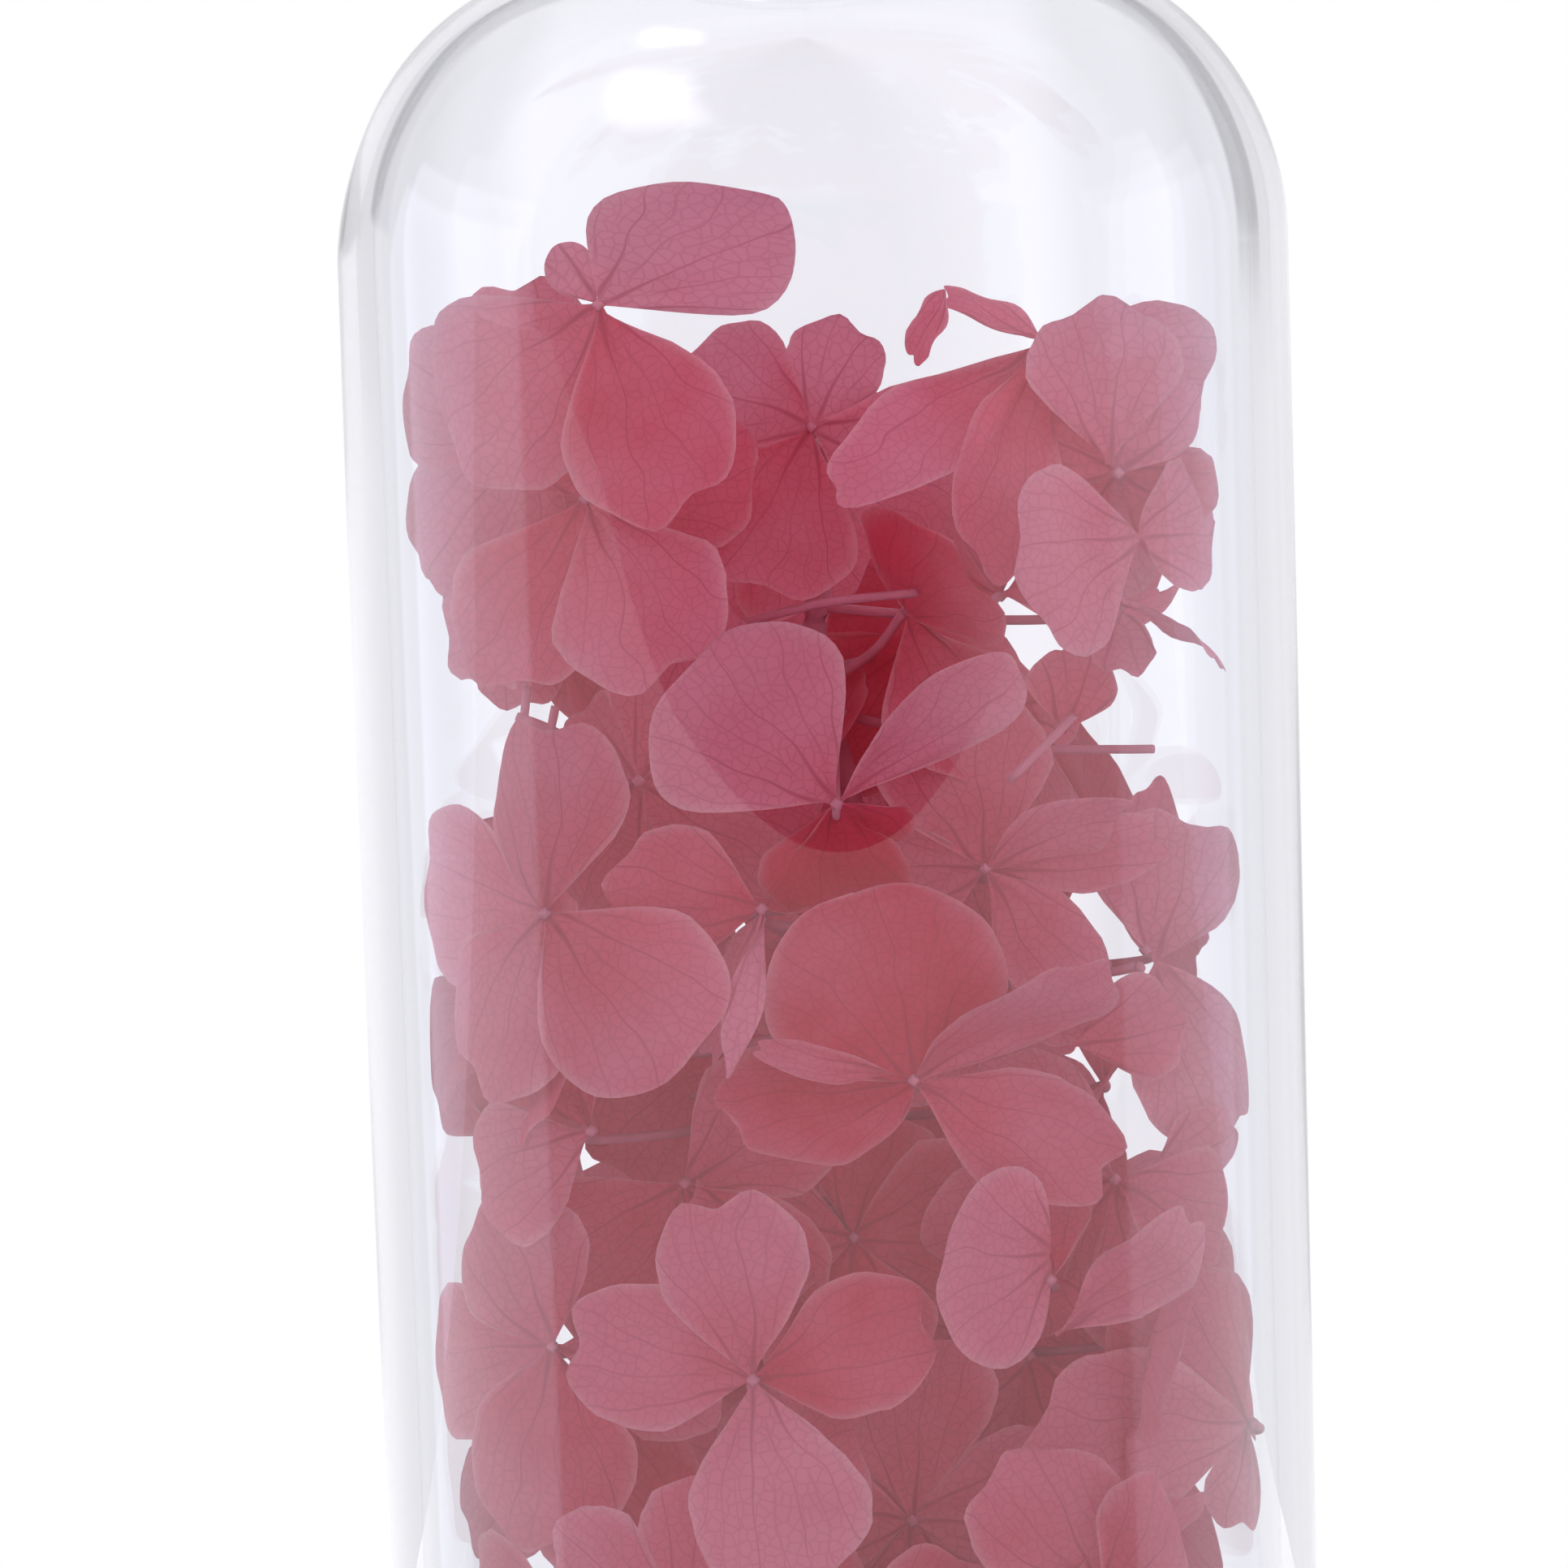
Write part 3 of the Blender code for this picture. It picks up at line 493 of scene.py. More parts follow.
# Florets seen from the front: sprig, the x, y and z of the centre, and the petals. A petal is its
# angle, length, width, lean and twist, then its bend and its slant.
frontFlorets = (
    ("sprig_top", -14.2, -12.0, 114.9, (
        (27, 13.4, 11.0, 8, 8, 10, 0.45),
        (150, 5.6, 4.6, -40, 0),
        (216, 14.6, 15.0, 10, 0, 25),
        (-70, 16.0, 11.6, 12, -8, 18, 0.12))),
    ("sprig_top", -18.6, -7.0, 106.5, (
        (100, 9.5, 9.0, -15, 0),
        (160, 10.5, 10.0, -10, 0),
        (238, 12.5, 12.6, 5, 0),
        (-50, 12.0, 11.0, -20, 0))),
    ("sprig_top", -0.4, -2.0, 105.4, (
        (142, 13.0, 12.0, 12, 0, 10),
        (68, 7.6, 8.0, -15, 0),
        (-20, 12.0, 11.0, -25, 0),
        (-115, 13.0, 12.0, -10, 0))),
    ("sprig_top", 15.2, -10.0, 111.5, (
        (219, 19.0, 11.0, 18, 38, 14),
        (247, 15.6, 9.0, 10, -66, 20),
        (-24, 10.6, 11.4, 8, 0, 12, -0.2),
        (160, 9.0, 5.0, -10, 80, -30))),
    ("sprig_top", -15.4, -14.0, 102.3, (
        (243, 13.0, 11.0, 0, 20),
        (-62, 14.4, 12.0, 10, 0),
        (120, 10.0, 10.0, -45, 0),
        (10, 12.0, 11.0, -40, 0))),
    ("sprig_top", 19.5, -13.0, 102.8, (
        (74, 7.5, 6.0, -30, 20),
        (160, 11.0, 10.0, -30, 0),
        (250, 12.0, 10.0, -35, 0),
        (-30, 8.0, 8.0, -60, 0))),
    ("sprig_high", 18.8, -15.0, 94.5, (
        (115, 12.4, 11.0, 22, -10),
        (55, 10.0, 8.6, 5, 0),
        (-22, 10.5, 5.4, 0, 72, 8),
        (-76, 6.6, 4.2, 0, 20))),
    ("sprig_high", 0.3, -24.0, 82.9, (
        (139, 14.2, 14.8, 4, 0, 14),
        (41, 15.2, 8.0, 10, 42, 10),
        (250, 12.0, 10.0, -58, 0),
        (-34, 13.0, 9.0, -50, 10))),
    ("sprig_high", 9.4, -10.0, 79.9, (
        (8, 10.4, 7.0, 5, 40),
        (-27, 13.0, 9.0, 0, 10),
        (100, 12.0, 12.0, -20, 0),
        (190, 12.0, 11.0, -25, 0))),
    ("sprig_high", -12.6, -14.0, 83.4, (
        (-32, 12.6, 12.0, 5, 0),
        (62, 13.0, 12.0, -15, 0),
        (140, 10.0, 9.0, -20, 0),
        (235, 11.0, 10.0, -25, 0))),
    ("sprig_high", -20.7, -4.0, 93.5, (
        (110, 11.0, 11.0, 0, 0),
        (175, 7.5, 10.0, -10, 0),
        (268, 8.0, 8.0, 5, 0),
        (-30, 13.0, 12.0, -10, 0))),
    ("sprig_high", -20.6, -8.0, 80.9, (
        (150, 6.6, 4.0, 0, 50),
        (240, 6.0, 6.0, 0, 0),
        (-20, 12.0, 11.0, -20, 0),
        (75, 8.0, 4.0, -30, 60))),
    ("sprig_middle", -18.6, -19.0, 75.5, (
        (-51, 14.4, 13.4, 8, 0, 16),
        (77, 12.8, 9.0, 0, 40),
        (175, 12.0, 12.0, -43, 0),
        (238, 13.0, 12.4, -28, 0))),
    ("sprig_middle", 20.9, -8.0, 69.9, (
        (60, 11.0, 10.0, 0, 0),
        (-56, 14.6, 8.4, 0, -25, 10),
        (93, 11.0, 4.0, -12, 0),
        (-112, 6.0, 5.0, -60, 0))),
    ("sprig_middle", 11.5, -6.0, 69.2, (
        (35, 8.5, 9.0, 0, 0),
        (-30, 10.0, 10.0, 0, 0),
        (125, 13.0, 12.0, 0, 0),
        (215, 13.0, 12.0, 0, 0))),
    ("sprig_middle", 4.8, -18.0, 63.3, (
        (104, 14.4, 16.0, 14, 0, 14),
        (28, 16.4, 8.6, 20, 48, 10),
        (230, 13.0, 15.6, 56, 0, 6),
        (-31, 14.4, 9.6, -18, 0))),
    ("sprig_middle", -4.7, -19.0, 75.3, (
        (258, 12.4, 7.0, 5, 72, 8),
        (170, 13.0, 13.0, -12, 0),
        (80, 9.0, 9.0, -60, 0),
        (-20, 9.0, 9.0, -60, 0))),
    ("sprig_middle", -16.3, -17.0, 60.4, (
        (205, 9.4, 10.0, 0, 0),
        (120, 10.0, 9.0, -20, 0),
        (-14, 13.0, 10.0, -10, 0),
        (-75, 12.0, 11.0, -15, 0))),
    ("sprig_low", 13.5, -16.0, 49.0, (
        (174, 10.4, 15.0, 40, 0, 6),
        (36, 13.4, 9.6, 8, 22),
        (-75, 9.0, 8.0, -70, 0),
        (105, 9.0, 8.0, -60, 0))),
    ("sprig_low", 27.6, -6.5, 36.3, (
        (178, 16.8, 13.0, 22, 0, 8),
        (124, 13.0, 12.0, 8, 0, 12),
        (262, 7.0, 6.0, 0, 0),
        (20, 5.0, 5.0, -70, 0))),
    ("sprig_low", -6.2, -26.0, 45.2, (
        (100, 12.4, 10.6, 4, 0, 12),
        (171, 12.4, 10.0, 2, 0, 14),
        (-82, 13.4, 12.2, 6, 0, 12),
        (9, 13.2, 9.6, -26, 0, 10))),
    ("sprig_low", -19.4, -15.0, 45.3, (
        (113, 10.6, 11.0, 0, 0),
        (192, 10.8, 11.0, -5, 0),
        (262, 13.0, 13.0, 0, 0),
        (-12, 12.0, 11.0, -15, 0))),
    ("sprig_low", 18.4, -9.0, 54.3, (
        (-20, 9.6, 9.0, 0, 0),
        (150, 12.0, 11.0, 0, 0),
        (-72, 13.0, 12.0, -8, 0),
        (210, 13.0, 12.0, -15, 0))),
    ("sprig_bottom", -11.1, -24.0, 28.6, (
        (72, 9.6, 10.0, 0, 0),
        (160, 12.0, 11.0, 0, 0),
        (250, 13.0, 12.0, 4, 0),
        (-20, 12.5, 11.0, 0, 0))),
    ("sprig_bottom", 16.1, -19.0, 27.7, (
        (120, 11.5, 10.5, 0, 0),
        (48, 11.0, 10.5, 0, 0),
        (-40, 12.5, 12.0, 0, 0),
        (220, 13.0, 12.0, 4, 0))),
    ("sprig_low", -10.6, -9.0, 55.0, (
        (35, 11.5, 11.0, -5, 0),
        (125, 11.0, 11.0, -10, 0),
        (215, 12.0, 11.0, 0, 0),
        (-55, 12.0, 11.0, 0, 0))),
    ("sprig_low", 12.5, -6.0, 41.5, (
        (20, 12.0, 11.0, -10, 0),
        (110, 12.0, 11.0, 0, 0),
        (200, 12.0, 11.0, 0, 0),
        (-70, 12.0, 11.0, -5, 0))),
    ("sprig_bottom", 4.0, -11.0, 31.5, (
        (90, 13.0, 12.0, -6, 0),
        (5, 12.0, 11.0, -10, 0),
        (178, 12.0, 11.0, 0, 0),
        (-88, 11.0, 10.0, -20, 0))),
)

# Bare pedicels whose floret has broken off
barePedicels = (
    ("sprig_high", (5.0, -2.0, 82.0), (21.6, -10.0, 83.9)),
    ("sprig_high", (-19.8, -11.0, 89.5), (-20.4, -14.0, 82.5)),
    ("sprig_high", (-7.5, -8.0, 92.4), (6.3, -10.0, 94.9)),
)

# Lines of sight from the front that stay clear: x and z where they pass the axis, and a radius
eye = Vector((-3.1, -430.9, 141.4))
sightLines = (
    (18.2, 71.4, 1.2), (19.9, 67.8, 1.2), (20.3, 58.4, 0.9), (21.7, 55.7, 0.9), (-19.5, 85.9, 1.0),
    (-14.2, 55.8, 0.5), (14.8, 89.9, 0.5), (15.8, 40.9, 0.5), (-24.3, 83.2, 1.8), (-25.6, 86.4, 1.5),
    (21.4, 85.0, 2.2), (25.8, 82.0, 2.6), (-26.6, 56.5, 1.2), (27.6, 52.7, 1.0),
)


def sprigOf(z):
    for name, high in zip(sprig["names"], sprig["edges"][1:]):
        if z < high:
            return name
    return sprig["names"][-1]


def waist(z):
    return sum(depth * math.exp(-((z - level) / half) ** 2) for level, depth, half in sprig["waists"])


def softLimit(value, limit, ease):
    start = limit - ease
    if value <= start:
        return value
    return limit - ease * math.exp(-(value - start) / ease)


def holdInside(point, drawnIn):
    radius = math.hypot(point.x, point.y)
    half = blade["thickness"] / 2
    reach = bottle["bodyRadius"] - bottle["wall"] - sprig["wallGap"] - half - drawnIn * waist(point.z)
    held = softLimit(radius, reach, sprig["glassEase"])
    scale = held / radius if radius > 1e-6 else 1.0
    low = bottle["floorHeight"] + sprig["restGap"] + half
    z = -softLimit(-point.z, -low, sprig["floorEase"])
    return Vector((point.x * scale, point.y * scale, z))


def makePetal(root, right, up, face, angle, length, width, lean, twist, bend=12.0, slant=0.0, drawnIn=0.0):
    turn = math.radians(angle)
    tip = math.radians(lean)
    outward = right * math.cos(turn) + up * math.sin(turn)
    along = outward * math.cos(tip) + face * math.sin(tip)
    normal = face * math.cos(tip) - outward * math.sin(tip)
    normal.rotate(Matrix.Rotation(math.radians(twist), 3, along))
    return {"root": root, "along": along, "across": normal.cross(along), "normal": normal, "length": length,
            "width": width, "bend": math.radians(bend), "slant": slant, "drawnIn": drawnIn}


def petalPlace(petal, u, v, lift=0.0):
    side = v * petal["width"] / 2
    run = u * petal["length"] - petal["slant"] * side
    curve = petal["bend"] / petal["length"]
    turn = curve * run
    forward = math.sin(turn) / curve if abs(curve) > 1e-6 else run
    rise = (1 - math.cos(turn)) / curve if abs(curve) > 1e-6 else 0.0
    rise += blade["cup"] * side * side / petal["width"] + lift
    point = petal["root"] + petal["along"] * forward + petal["across"] * side
    return holdInside(point + petal["normal"] * rise, petal["drawnIn"])


def petalNormal(petal, u, v):
    step = 0.05
    du = petalPlace(petal, u + step, v) - petalPlace(petal, u - step, v)
    dv = petalPlace(petal, u, v + step) - petalPlace(petal, u, v - step)
    return du.cross(dv).normalized()


def bladeSolid(petal):
    low, high, tip = blade["rowLow"], blade["rowHigh"], blade["tipShare"]
    points = [(0.0, 0.0), (low[0], -low[1]), (low[0], low[1]), (high[0], -high[1]), (high[0], 0.0),
              (high[0], high[1]), (1.0, -tip), (1.0, tip)]
    skin = [(0, 1, 2), (1, 3, 4), (1, 4, 2), (2, 4, 5), (3, 6, 4), (4, 6, 7), (4, 7, 5)]
    rim = [1, 3, 6, 7, 5, 2]
    solid = [petalPlace(petal, 0.0, 0.0)]
    count = len(points) - 1
    for side in (1, -1):
        for u, v in points[1:]:
            solid.append(petalPlace(petal, u, v) + petalNormal(petal, u, v) * side * blade["thickness"] / 2)
    below = [0] + [number + count for number in range(1, len(points))]
    faces = list(skin)
    faces += [(below[a], below[c], below[b]) for a, b, c in skin]
    for a, b in zip(rim, rim[1:]):
        faces += [(a, below[b], b), (a, below[a], below[b])]
    faces += [(0, below[1], 1), (0, 2, below[2])]
    return solid, faces


def tubeSolid(path, radii, sides):
    points = []
    faces = []
    for i, place in enumerate(path):
        before = path[max(i - 1, 0)]
        after = path[min(i + 1, len(path) - 1)]
        turned = (after - before).to_track_quat("Z", "Y")
        for k in range(sides):
            turn = math.tau * k / sides
            points.append(place + turned @ Vector((radii[i] * math.cos(turn), radii[i] * math.sin(turn), 0)))
    for i in range(len(path) - 1):
        for k in range(sides):
            a = i * sides + k
            b = i * sides + (k + 1) % sides
            faces += [(a, b, b + sides), (a, b + sides, a + sides)]
    last = (len(path) - 1) * sides
    for k in range(1, sides - 1):
        faces.append((0, k + 1, k))
        faces.append((last, last + k, last + k + 1))
    return points, faces


def frontOnes():
    florets = []
    for name, x, y, z, petals in frontFlorets:
        florets.append({"sprig": name, "centre": Vector((x, y, z)), "right": Vector((1, 0, 0)),
                        "up": Vector((0, 0, 1)), "face": Vector((0, -1, 0)), "petals": petals})
    return florets


def filler(draw, z, azimuth, radius, nod):
    s = sprig
    out = Vector((math.cos(azimuth), math.sin(azimuth), 0))
    right = Vector((0, 0, 1)).cross(out)
    face = (out + Vector((0, 0, nod))).normalized()
    spin = draw.uniform(0, 90)
    petals = []
    off = s["fillerTurn"]
    for k in range(4):
        petals.append((spin + 90 * k + draw.uniform(-off, off), draw.uniform(*s["fillerLength"]),
                       draw.uniform(*s["fillerWidth"]), draw.uniform(*s["fillerLean"]),
                       draw.uniform(*s["fillerTwist"]), draw.uniform(*s["fillerBend"]),
                       draw.uniform(*s["fillerSlant"]), 1.0))
    centre = out * (radius - waist(z) * s["waistShare"]) + Vector((0, 0, z))
    return {"sprig": sprigOf(z), "centre": centre, "right": right, "up": face.cross(right), "face": face,
            "petals": petals}


def fillingOnes(draw):
    florets = []
    height = sprig["spiralTop"] - sprig["spiralBottom"]
    for i in range(sprig["spiralCount"]):
        z = sprig["spiralBottom"] + height * i / (sprig["spiralCount"] - 1)
        azimuth = math.radians(sprig["goldenAngle"] * i)
        radius = sprig["spiralRadius"] + draw.uniform(-sprig["spiralSpread"], sprig["spiralSpread"])
        floret = filler(draw, z, azimuth, radius, draw.uniform(*sprig["spiralNod"]))
        fromFront = math.degrees(math.acos(-math.sin(azimuth)))
        if fromFront > sprig["frontSector"] or z < sprig["frontSectorBottom"]:
            florets.append(floret)
    for i in range(sprig["coreCount"]):
        z = sprig["spiralBottom"] + height * (i + 0.5) / sprig["coreCount"]
        azimuth = math.radians(sprig["goldenAngle"] * i)
        florets.append(filler(draw, z, azimuth, sprig["coreRadius"], draw.uniform(*sprig["coreNod"])))
    return florets


def spreadBranchings(florets, stalks):
    for name in sprig["names"]:
        low = stalks[name][0].z + sprig["stalkEnd"]
        high = stalks[name][-1].z - sprig["stalkEnd"]
        own = sorted((f for f in florets if f["sprig"] == name), key=lambda f: f["centre"].z)
        for order, floret in enumerate(own):
            floret["branching"] = low + (high - low) * order / len(own)


def stalkPath(name, draw):
    index = sprig["names"].index(name)
    low = sprig["edges"][index]
    high = sprig["edges"][index + 1] - sprig["stalkGap"]
    wander = sprig["stalkWander"]
    path = []
    for i in range(sprig["stalkPoints"]):
        z = low + (high - low) * i / (sprig["stalkPoints"] - 1)
        side = draw.uniform(-wander, wander)
        path.append(Vector((side, draw.uniform(-wander, wander), z)))
    return path


def pathAt(path, z):
    for a, b in zip(path, path[1:]):
        if z <= b.z:
            return a.lerp(b, max(0.0, (z - a.z) / (b.z - a.z)))
    return path[-1].copy()


def pedicelPath(floret, stalk):
    centre = floret["centre"]
    face = floret["face"]
    start = pathAt(stalk, floret["branching"])
    bend = centre - face * sprig["pedicelBehind"] - Vector((0, 0, sprig["pedicelBelow"]))
    middle = start.lerp(bend, 0.6).lerp(bend.lerp(centre, 0.6), 0.6)
    hub = sprig["hubRadius"]
    return [start, middle, centre - face * hub, centre + face * hub * 0.6]


def boxOf(solid):
    points = solid[0]
    return [min(p[k] for p in points) for k in range(3)], [max(p[k] for p in points) for k in range(3)]


class Clearance:                  # what has been laid so far: box, trees and owner of each solid
    def __init__(self):
        self.laid = []

    def add(self, solid, owner):
        self.laid.append((boxOf(solid), *self.trees(solid), owner))

    def trees(self, solid):       # the whole solid, and the solid without its root
        points, faces = solid
        free = BVHTree.FromPolygons(points, [face for face in faces if 0 not in face])
        return BVHTree.FromPolygons(points, faces), free

    def crossed(self, solid, owner):
        low, high = boxOf(solid)
        whole, free = self.trees(solid)
        found = set()
        for (otherLow, otherHigh), other, otherFree, otherOwner in self.laid:
            if any(low[k] > otherHigh[k] or high[k] < otherLow[k] for k in range(3)):
                continue
            same = otherOwner == owner
            if (free if same else whole).overlap(otherFree if same else other):
                found.add(otherOwner[0])
        return found


def thicker(solid, extra):
    points, faces = solid
    half = len(points) // 2
    above = []
    below = []
    for high, low in zip(points[1:half + 1], points[half + 1:]):
        push = (high - low).normalized() * extra
        above.append(high + push)
        below.append(low - push)
    return points[:1] + above + below, faces


def layPetal(floret, spec, clearance):
    angle, length, width, lean, twist = spec[:5]
    owner = (floret["sprig"], floret["number"])
    throughOwn = None
    for scale in (1.0, sprig["smaller"]):
        for offset in sprig["leanTries"]:
            petal = makePetal(floret["centre"], floret["right"], floret["up"], floret["face"], angle,
                              length * scale, width * scale, lean + offset, twist, *spec[5:])
            solid = bladeSolid(petal)
            crossed = clearance.crossed(thicker(solid, sprig["restGap"]), owner)
            if not crossed:
                return {"angle": angle, "length": length * scale, "width": width * scale,
                        "lean": lean + offset, "twist": twist, "more": spec[5:]}, solid
            if crossed == {owner[0]} and not throughOwn:
                throughOwn = {"angle": angle, "length": length * scale, "width": width * scale,
                              "lean": lean + offset, "twist": twist, "more": spec[5:]}, solid
    return throughOwn


def layOut():
    draw = random.Random(sprig["seed"])
    florets = frontOnes() + fillingOnes(draw)
    clearance = Clearance()
    stalks = {}
    for name in sprig["names"]:
        stalks[name] = stalkPath(name, draw)
        radii = [sprig["stalkRadius"]] * sprig["stalkPoints"]
        clearance.add(tubeSolid(stalks[name], radii, 4), (name, None))
    spreadBranchings(florets, stalks)
    thin = sprig["pedicelRadius"]
    hub = sprig["hubRadius"]
    for number, floret in enumerate(florets):
        floret["number"] = number
        floret["path"] = pedicelPath(floret, stalks[floret["sprig"]])
        clearance.add(tubeSolid(floret["path"], [thin, thin, hub, hub * 0.8], 3), (floret["sprig"], number))
    for name, start, end in barePedicels:
        clearance.add(tubeSolid([Vector(start), Vector(end)], [thin, thin * 0.8], 3), (name, None))
    for x, z, radius in sightLines:
        ray = Vector((x, 0, z)) - eye
        near = eye + ray * (1 - bottle["bodyRadius"] / ray.length)
        far = eye + ray * (1 + bottle["bodyRadius"] / ray.length)
        clearance.add(tubeSolid([near, far], [radius, radius], 6), ("view", None))
    for floret in florets:
        floret["laid"] = {}
        for order, spec in enumerate(floret["petals"]):
            found = layPetal(floret, spec, clearance)
            if found:
                floret["laid"][order] = found[0]
                clearance.add(found[1], (floret["sprig"], floret["number"]))
    for number, shift in movedFlorets.items():
        florets[number]["centre"] = florets[number]["centre"] + Vector(shift)
    return florets, stalks


# Petals: thin dyed petals that have dried like soft paper
petalForm = {
    "rows": 22,
    "columns": 16,
    "seed": 5,
    "bend": 12.0,                 # where a petal's own bend isn't given
    "rootShare": 0.05,            # half width at the root, as a share of the widest
    "claw": (1.0, 1.35),          # how slowly it widens from the root
    "widestAt": (0.52, 0.64),
    "tip": (1.9, 2.7),            # 2 is a round tip, above that it is squarer
    "overhang": 1.03,             # the round tip reaches a little past the plain blade's cut one
    "ripple": (0.1, 0.3),         # how far the margin waves up and down
    "ripples": (1.2, 2.2),
    "groove": 0.45,               # how deep the crease along the middle lies near the root
    "grooveHalf": 0.2,
    "pleat": 0.22,                # the fan of pleats that runs out from the root
    "pleats": 9.0,
    "uneven": 0.025,              # the outline wanders by this share of the half width
    "unevenTimes": (1.3, 2.4),
    "unevenTip": 0.05,
    "crumple": 0.45,              # how far the dried petal buckles
    "crumples": (0.24, 0.32),     # in a millimetre, along and across
    "rimFrom": 0.8,               # the rim is paler from here to the tip
    "frontTone": (0.25, 0.7),     # 0 is the deepest dye and 1 the palest; a tone below 0 is painted shade
    "innerTone": (0.0, 0.35),
    "deep": "#dc385a",
    "pale": "#ed8caa",
    "petalRim": "#f7bccb",
    "veinDark": "#b12f4b",
    "throughDeep": "#ec6a85",     # light that has passed through a petal
    "throughPale": "#f5a9bf",
    "throughVein": "#bb4260",
    "throughShare": 0.45,
    "veinStep": 15.0,             # degrees between the main veins
    "veinRoot": 0.8,              # the veins meet this far before the root
    "veinHalf": 0.045,            # half a vein's width
    "veinWider": 3.5,             # it is this many times as wide at the root
    "veinSteps": ((1, 0.0, 1.0), (2, 3.0, 0.75), (4, 6.5, 0.55)),     # more veins further out, fainter
    "veinSway": 0.25,
    "veinDepth": (0.65, 0.34),    # how dark the veins are at the root and further out
    "netSize": 0.8,               # one mesh of the fine net between veins
    "netDepth": 0.5,
    "blotch": 0.3,
    "crumpleSize": 2.0,
    "rimPower": 14.0,
    "rimShare": 0.6,
    "throughVeins": 0.42,
    "throughRim": 0.3,
}


